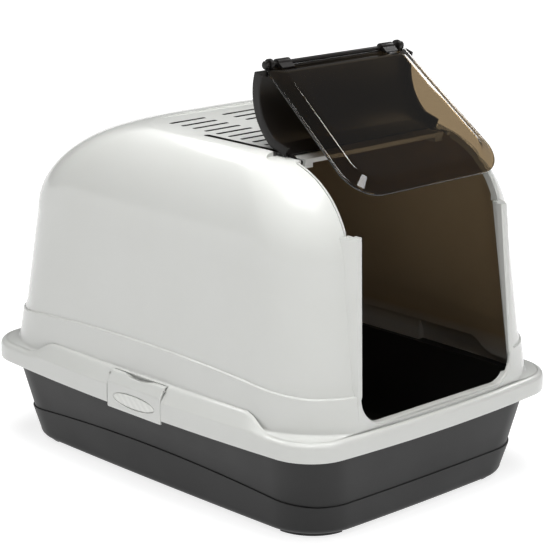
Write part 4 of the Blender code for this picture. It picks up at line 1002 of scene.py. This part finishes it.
def door_outline(inset):
    """Door outline (x, down), moved inwards: straight top, flared sides, quarter-circle lower corners.

    The top moves down by inset times the share that makes the raised middle start at DOOR_STRIP.
    """
    top = DOOR_TOP + inset * (DOOR_STRIP - DOOR_TOP) / DOOR_BORDER
    bottom = DOOR_LENGTH - inset
    corner = DOOR_CORNER - 0.6 * inset
    flare = DOORWAY_FLARE * 0.97
    half = DOORWAY_TOP_HALF - DOOR_SIDE_CLEARANCE - inset
    t = np.linspace(0, math.pi / 2, 18)
    low = half + flare * bottom
    ease = 0.0035
    upper = np.linspace(math.pi / 2, 0, 5)
    corner_top = np.stack([half + flare * top - ease + ease * np.cos(upper), top + ease - ease * np.sin(upper)], -1)
    sides = np.linspace(top + 2 * ease, bottom - corner, 14)
    side = np.stack([half + flare * sides + (low - half - flare * (bottom - corner)) * (sides - top) / (bottom - top),
                     sides], -1)
    turn = np.stack([low - corner + corner * np.cos(t), bottom - corner + corner * np.sin(t)], -1)
    right = np.concatenate([corner_top, side, turn[1:]])
    return np.concatenate([right, right[::-1] * (-1, 1)])


def make_door(smoked, black):
    """Pane: the door's outline carried along a section over border, slope and raised middle; then the two clips."""
    rise = DOOR_RAISE
    outer = softened([(0.0, -DOOR_WALL + 0.0004), (0.0, 0.0), (0.0035, 0.0), (DOOR_BORDER - 0.001, rise),
                      (DOOR_BORDER + 0.006, rise)], [0.0007, 0.0012, 0.0024], steps=5)
    inner = softened([(0.0004, -DOOR_WALL), (0.0035, -DOOR_WALL), (DOOR_BORDER, rise - DOOR_WALL),
                      (DOOR_BORDER + 0.006, rise - DOOR_WALL)], [0.0012, 0.0024], steps=5)
    path = np.concatenate([outer[::-1], inner])
    rings = []
    for inset, out in path:
        outline = door_outline(inset)
        rings.append(door_place(outline[:, 0], outline[:, 1], np.full(len(outline), out)))
    door = new_object("swing_door_pane", [np.stack(rings)], smoked)
    windows = []
    x0, x1 = CLIP_LOW[0], CLIP_HIGH[0]
    for way in (-1, 1):
        outline = rounded_box(*sorted((way * x0, way * x1)), CLIP_TAB + GAP, CLIP_TAB + WINDOW_LENGTH, 0.0008, 3)
        windows.append(np.stack([door_place(outline[:, 0], outline[:, 1], np.full(len(outline), out))
                                 for out in (-0.01, 0.01)]))
    combined(door, [("DIFFERENCE", new_object("windows", windows, smoked))])
    shade(door, 40)
    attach(door, "door")
    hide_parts("swing_door")
    bore = ROD_RADIUS + 0.0005
    for way, label in ((-1, "left"), (1, "right")):
        left, right = sorted((way * x0, way * x1))
        barrel = circle(ROD_Y, ROD_Z, bore + CLIP_WALL, 36)
        clip = new_object("hinge_clip_skin_" + label,
                          [eased_prism(barrel, circle(ROD_Y, ROD_Z, bore + CLIP_WALL - 0.0008, 36), 0, left, right,
                                       0.0008)], black)
        outline = rounded_box(left, right, ROD_RADIUS, CLIP_TAB, 0.0012, 4)
        tab = np.stack([door_place(outline[:, 0], outline[:, 1], np.full(len(outline), out))
                        for out in (0.0022, 0.0048)])
        combined(clip, [("UNION", new_object("tab", [tab], black)),
                        ("DIFFERENCE", new_object("bore", [prism(circle(ROD_Y, ROD_Z, bore), 0, left - 0.01,
                                                                 right + 0.01)], black))])
        shade(clip)
        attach(clip, "door")
        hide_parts("hinge_clip_" + label)


# ---- latches ------------------------------------------------------------------------------------------------
def latch_section():
    """Outer section of a latch as (x, z): up the rim's face, over a sloping facet, to its top edge."""
    return softened([(RIM_A - 0.0008, LATCH_LOW[2]), (RIM_A, LATCH_LOW[2] + 0.0015), (RIM_A, LEDGE_Z + 0.0047),
                     (RIM_A - 0.0078, LATCH_HIGH[2] - 0.0004), (RIM_A - 0.0112, LATCH_HIGH[2])],
                    [0.0008, 0.0022, 0.0012], steps=6)


def latch_face(v):
    """Outer face of a latch as (outward, z) for v from 0 at its lower edge to 1 at its top, by arc length."""
    path = latch_section()
    length = np.concatenate([[0], np.cumsum(np.linalg.norm(np.diff(path, axis=0), axis=1))])
    where = v * length[-1]
    return np.interp(where, length, path[:, 0]), np.interp(where, length, path[:, 1])


def make_latch(white, ribbed, steel, way, label):
    """Latch cover: a grid over length and section, with a finger scoop in its top edge and a seat for the oval."""
    half = (LATCH_HIGH[1] - LATCH_LOW[1]) / 2
    u = np.linspace(-half, half, 161)
    v = np.linspace(0, 1, 81)
    uu, vv = np.meshgrid(u, v)
    x, z = latch_face(vv)
    z = np.minimum(z, LATCH_HIGH[2] - LATCH_DIP * np.exp(-(uu / 0.021) ** 4))
    oval = np.hypot(uu / (INLAY_LENGTH / 2 + INLAY_GAP), (z - INLAY_Z) / (INLAY_HEIGHT / 2 + INLAY_GAP))
    x = x - INLAY_SEAT * smooth((1.0 - oval) / 0.06)
    x = x + 0.0004 * np.exp(-((oval - 1.16) / 0.10) ** 2) * (z < LEDGE_Z)
    x = np.minimum(x, RIM_A)
    ends = smooth((half - np.abs(uu)) / 0.0010)
    x = x - 0.0009 * (1 - ends)
    outer = np.stack([way * x, LATCH_Y + uu, z], -1)
    inner = np.stack([way * (x - LATCH_WALL + INLAY_SEAT * 0.4), LATCH_Y + uu, z], -1)
    loops = np.concatenate([outer, inner[::-1]], axis=0)
    latch = new_object("latch_cover_" + label, [loops.transpose(1, 0, 2)], white)
    pin_x, pin_z = (PIN_LOW[0] + PIN_HIGH[0]) / 2, (PIN_LOW[2] + PIN_HIGH[2]) / 2
    nose_x0 = RIM_A - WALL - FLANGE_CLEARANCE + 0.0005
    nose = side_block(way, nose_x0, RIM_A - LATCH_WALL / 2, LATCH_LOW[1] + 0.002, LATCH_HIGH[1] - 0.002,
                      LATCH_LOW[2] + 0.0006, FLANGE_Z - WALL - 0.002)
    boss = circle(pin_x, pin_z, 0.0033, 24)
    section = latch_section()
    boss[:, 0] = np.minimum(boss[:, 0], np.interp(boss[:, 1], section[:, 1], section[:, 0]) - 0.0005) * way
    bosses = [prism(boss, 1, y, y + 0.008) for y in (LATCH_LOW[1] + 0.001, LATCH_HIGH[1] - 0.009)]
    bore = prism(circle(way * pin_x, pin_z, 0.00155, 16), 1, LATCH_LOW[1] - 0.01, LATCH_HIGH[1] + 0.01)
    combined(latch, [("UNION", new_object("nose", [nose], white)), ("UNION", new_object("bosses", bosses, white)),
                     ("DIFFERENCE", new_object("pin_bore", [bore], white))])
    shade(latch, 45)
    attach(latch, "latch_" + label)
    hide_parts("latch_" + label)

    t = np.linspace(0, 2 * math.pi, 96, endpoint=False)
    floor = INLAY_LOW[0]
    crown = [(floor, 1.0), (RIM_A - 0.0009, 1.0), (RIM_A - 0.0005, 0.985), (RIM_A - 0.0003, 0.95),
             (RIM_A - 0.0002, 0.8)]
    rings = [np.stack([np.full(96, way * depth), LATCH_Y + INLAY_LENGTH / 2 * size * np.cos(t),
                       INLAY_Z + INLAY_HEIGHT / 2 * size * np.sin(t)], -1) for depth, size in crown]
    inlay = new_object("latch_oval_" + label, [np.stack(rings)], ribbed)
    shade(inlay)
    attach(inlay, "latch_" + label)
    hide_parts("latch_inlay_" + label)

    pin = new_object("latch_pin_skin_" + label,
                     [eased_prism(circle(way * pin_x, pin_z, 0.0015), circle(way * pin_x, pin_z, 0.0011), 1, PIN_LOW[1],
                                  PIN_HIGH[1], 0.0004)], steel)
    shade(pin)
    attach(pin, "hood")
    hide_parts("latch_pin_" + label)


# ---- filter -------------------------------------------------------------------------------------------------
def make_filter(plastic, fleece):
    """Open-topped holder with a grid floor and a grip, and the fleece pad in it."""
    x1 = HOLDER_HIGH[0]
    y0, y1 = HOLDER_LOW[1], HOLDER_HIGH[1] - 0.006
    low, top = HOLDER_LOW[2], HOLDER_HIGH[2]
    wall = 0.0018
    bar = 0.006
    holder = new_object("filter_holder_skin", [eased_prism(rounded_box(-x1, x1, y0, y1, 0.003, 4),
                                                           rounded_box(-x1 + 0.0006, x1 - 0.0006, y0 + 0.0006,
                                                                       y1 - 0.0006, 0.0024, 4), 2, low, top, 0.0006)],
                        plastic)
    step_x = 2 * (x1 - bar) / 4
    step_y = (y1 - y0 - 2 * bar) / 3
    openings = [prism(rounded_box(-x1 + 1.5 * bar + step_x * i, -x1 + 0.5 * bar + step_x * (i + 1),
                                  y0 + 1.5 * bar + step_y * j, y0 + 0.5 * bar + step_y * (j + 1), 0.003, 4),
                      2, low - 0.01, low + wall + GAP) for i in range(4) for j in range(3)]
    combined(holder, [
        ("DIFFERENCE", new_object("well", [block(-x1 + wall, x1 - wall, y0 + wall, y1 - wall, low + wall, top + 0.01)],
                                  plastic)),
        ("DIFFERENCE", new_object("openings", openings, plastic)),
        ("UNION", new_object("grip", [prism(rounded_box(-0.02, 0.02, y1 - wall / 2, y1 + 0.006, 0.0025, 4), 2, low,
                                            low + 0.003)], plastic))])
    shade(holder)
    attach(holder, "filter")
    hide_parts("filter_holder")
    pad = rounded_box(PAD_LOW[0], PAD_HIGH[0], PAD_LOW[1], PAD_HIGH[1], 0.003, 4)
    small = rounded_box(PAD_LOW[0] + 0.0015, PAD_HIGH[0] - 0.0015, PAD_LOW[1] + 0.0015, PAD_HIGH[1] - 0.0015, 0.0015, 4)
    fleece_pad = new_object("carbon_pad", [eased_prism(pad, small, 2, PAD_LOW[2], PAD_HIGH[2], 0.0015)], fleece)
    shade(fleece_pad)
    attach(fleece_pad, "filter")
    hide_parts("carbon_filter")


# ---- floor, lights and camera -------------------------------------------------------------------------------
def make_floor():
    """Pale matt sheet whose own emission is painted light: a little near the box, more further out."""
    made, tree, shader = new_material("studio_sheet_white_painted_glow")
    place = node(tree, "ShaderNodeTexCoord").outputs["Object"]
    away = node(tree, "ShaderNodeVectorMath", {0: place}, operation="LENGTH")
    # Painted light: the sheet's emission stands in for the lit backdrop and lights the box from below.
    glow = node(tree, "ShaderNodeMapRange", {"Value": away.outputs["Value"], "From Min": 0.7, "From Max": 1.8,
                                            "To Min": PAINTED_FLOOR_GLOW[0], "To Max": PAINTED_FLOOR_GLOW[1]},
                interpolation_type="SMOOTHSTEP")
    tree.links.new(glow.outputs["Result"], shader.inputs["Emission Strength"])
    shader.inputs["Emission Color"].default_value = linear("#FFFFFF")
    shader.inputs["Base Color"].default_value = linear("#B0B0B0")
    shader.inputs["Roughness"].default_value = 1.0
    shader.inputs["Specular IOR Level"].default_value = 0.0
    mesh = bpy.data.meshes.new("studio_sheet")
    mesh.from_pydata([(x * SHEET_HALF, y * SHEET_HALF, 0) for x, y in ((-1, -1), (1, -1), (1, 1), (-1, 1))], [],
                     [(0, 1, 2, 3)])
    mesh.materials.append(made)
    floor = bpy.data.objects.new("studio_sheet", mesh)
    bpy.context.collection.objects.link(floor)


def softbox(name, place, target, width, height, power, mirrored=True):
    """Rectangular area light at place, facing target; mirrored says whether glossy surfaces show it."""
    light = bpy.data.lights.new(name, "AREA")
    light.shape = "RECTANGLE"
    light.size = width
    light.size_y = height
    light.energy = power
    lamp = bpy.data.objects.new(name, light)
    lamp.location = place
    lamp.rotation_euler = (Vector(target) - Vector(place)).to_track_quat("-Z", "Y").to_euler()
    lamp.visible_glossy = mirrored
    lamp.visible_transmission = mirrored
    bpy.context.collection.objects.link(lamp)
    return lamp


def make_lights():
    """Even room light, two softboxes that only light, and boxes that only glossy surfaces show."""
    world = bpy.data.worlds.new("studio_room")
    bpy.context.scene.world = world
    world.use_nodes = True
    shader = world.node_tree.nodes["Background"]
    shader.inputs["Color"].default_value = (1.0, 1.0, 1.0, 1.0)
    shader.inputs["Strength"].default_value = ROOM_LIGHT
    softbox("overhead_softbox", (-0.3, -0.35, 1.9), (0.0, 0.0, 0.3), 1.6, 1.6, 54, mirrored=False)
    softbox("front_softbox", (-0.7, -2.4, 1.0), (0.0, -0.1, 0.25), 1.0, 1.0, 4, mirrored=False)
    for name, way, width, height, radiance in MIRRORED_BOXES:
        place = Vector(DOOR_MIDDLE) + Vector(way).normalized() * MIRRORED_DISTANCE
        box = softbox(name, place, DOOR_MIDDLE, width, height, radiance * math.pi * width * height)
        box.visible_diffuse = False
    bpy.context.scene.view_settings.view_transform = "Standard"


DOOR_MIDDLE = (0.0, -0.2, 0.5)
MIRRORED_DISTANCE = 1.5
# boxes that only glossy surfaces show: name, direction from the door's middle, width, height, radiance
MIRRORED_BOXES = (("corner_box", (-0.40, -0.25, 0.88), 0.90, 0.75, 3.0),
                  ("crease_box", (0.42, -0.20, 0.88), 0.3, 0.3, 9.0),
                  ("edge_box", (0.15, -0.69, 0.70), 0.3, 0.22, 7.0),
                  ("side_box", (0.85, 0.10, 0.50), 0.25, 0.5, 9.0),
                  ("ridge_box", (-0.10, 0.68, 0.70), 0.9, 0.45, 5.0))
# The sheet's emission is painted light, near the box and far from it.
PAINTED_FLOOR_GLOW = (0.80, 1.05)      # radiance the sheet gives by itself, near the box and far from it
ROOM_LIGHT = 0.15
SHEET_HALF = 60.0             # half size of the sheet, so that low views don't show its edge
CAMERA_TARGET = (0.0088, -0.0087, 0.2486)
CAMERA_DISTANCE = 2.8248
CAMERA_YAW = -0.7822
CAMERA_PITCH = 0.2689
CAMERA_ROLL = 0.0146
CAMERA_LENS = 136.75


def make_camera():
    """Long lens, level with the near corner, a little above the roof."""
    turn = (Matrix.Rotation(CAMERA_YAW, 3, "Z") @ Matrix.Rotation(math.pi / 2 - CAMERA_PITCH, 3, "X")
            @ Matrix.Rotation(CAMERA_ROLL, 3, "Z"))
    data = bpy.data.cameras.new("camera")
    data.lens = CAMERA_LENS
    data.clip_start = 0.1
    camera = bpy.data.objects.new("camera", data)
    camera.rotation_euler = turn.to_euler()
    camera.location = Vector(CAMERA_TARGET) + turn @ Vector((0, 0, CAMERA_DISTANCE))
    bpy.context.collection.objects.link(camera)
    bpy.context.scene.camera = camera


def main():
    """Camera, sheet and lights first, then each piece with its finish."""
    white = pearl_white_polypropylene()
    black = black_polypropylene()
    steel = drawn_steel()
    ribbed = inlay_polypropylene()
    make_camera()
    make_floor()
    make_lights()
    make_tray(charcoal_polypropylene())
    make_hood(white, painted_shade_lining(), black)
    make_visor(black)
    make_door(smoked_polystyrene(), black)
    for way, label in ((-1, "left"), (1, "right")):
        make_latch(white, ribbed, steel, way, label)
    make_filter(holder_polypropylene(), carbon_fleece())


main()
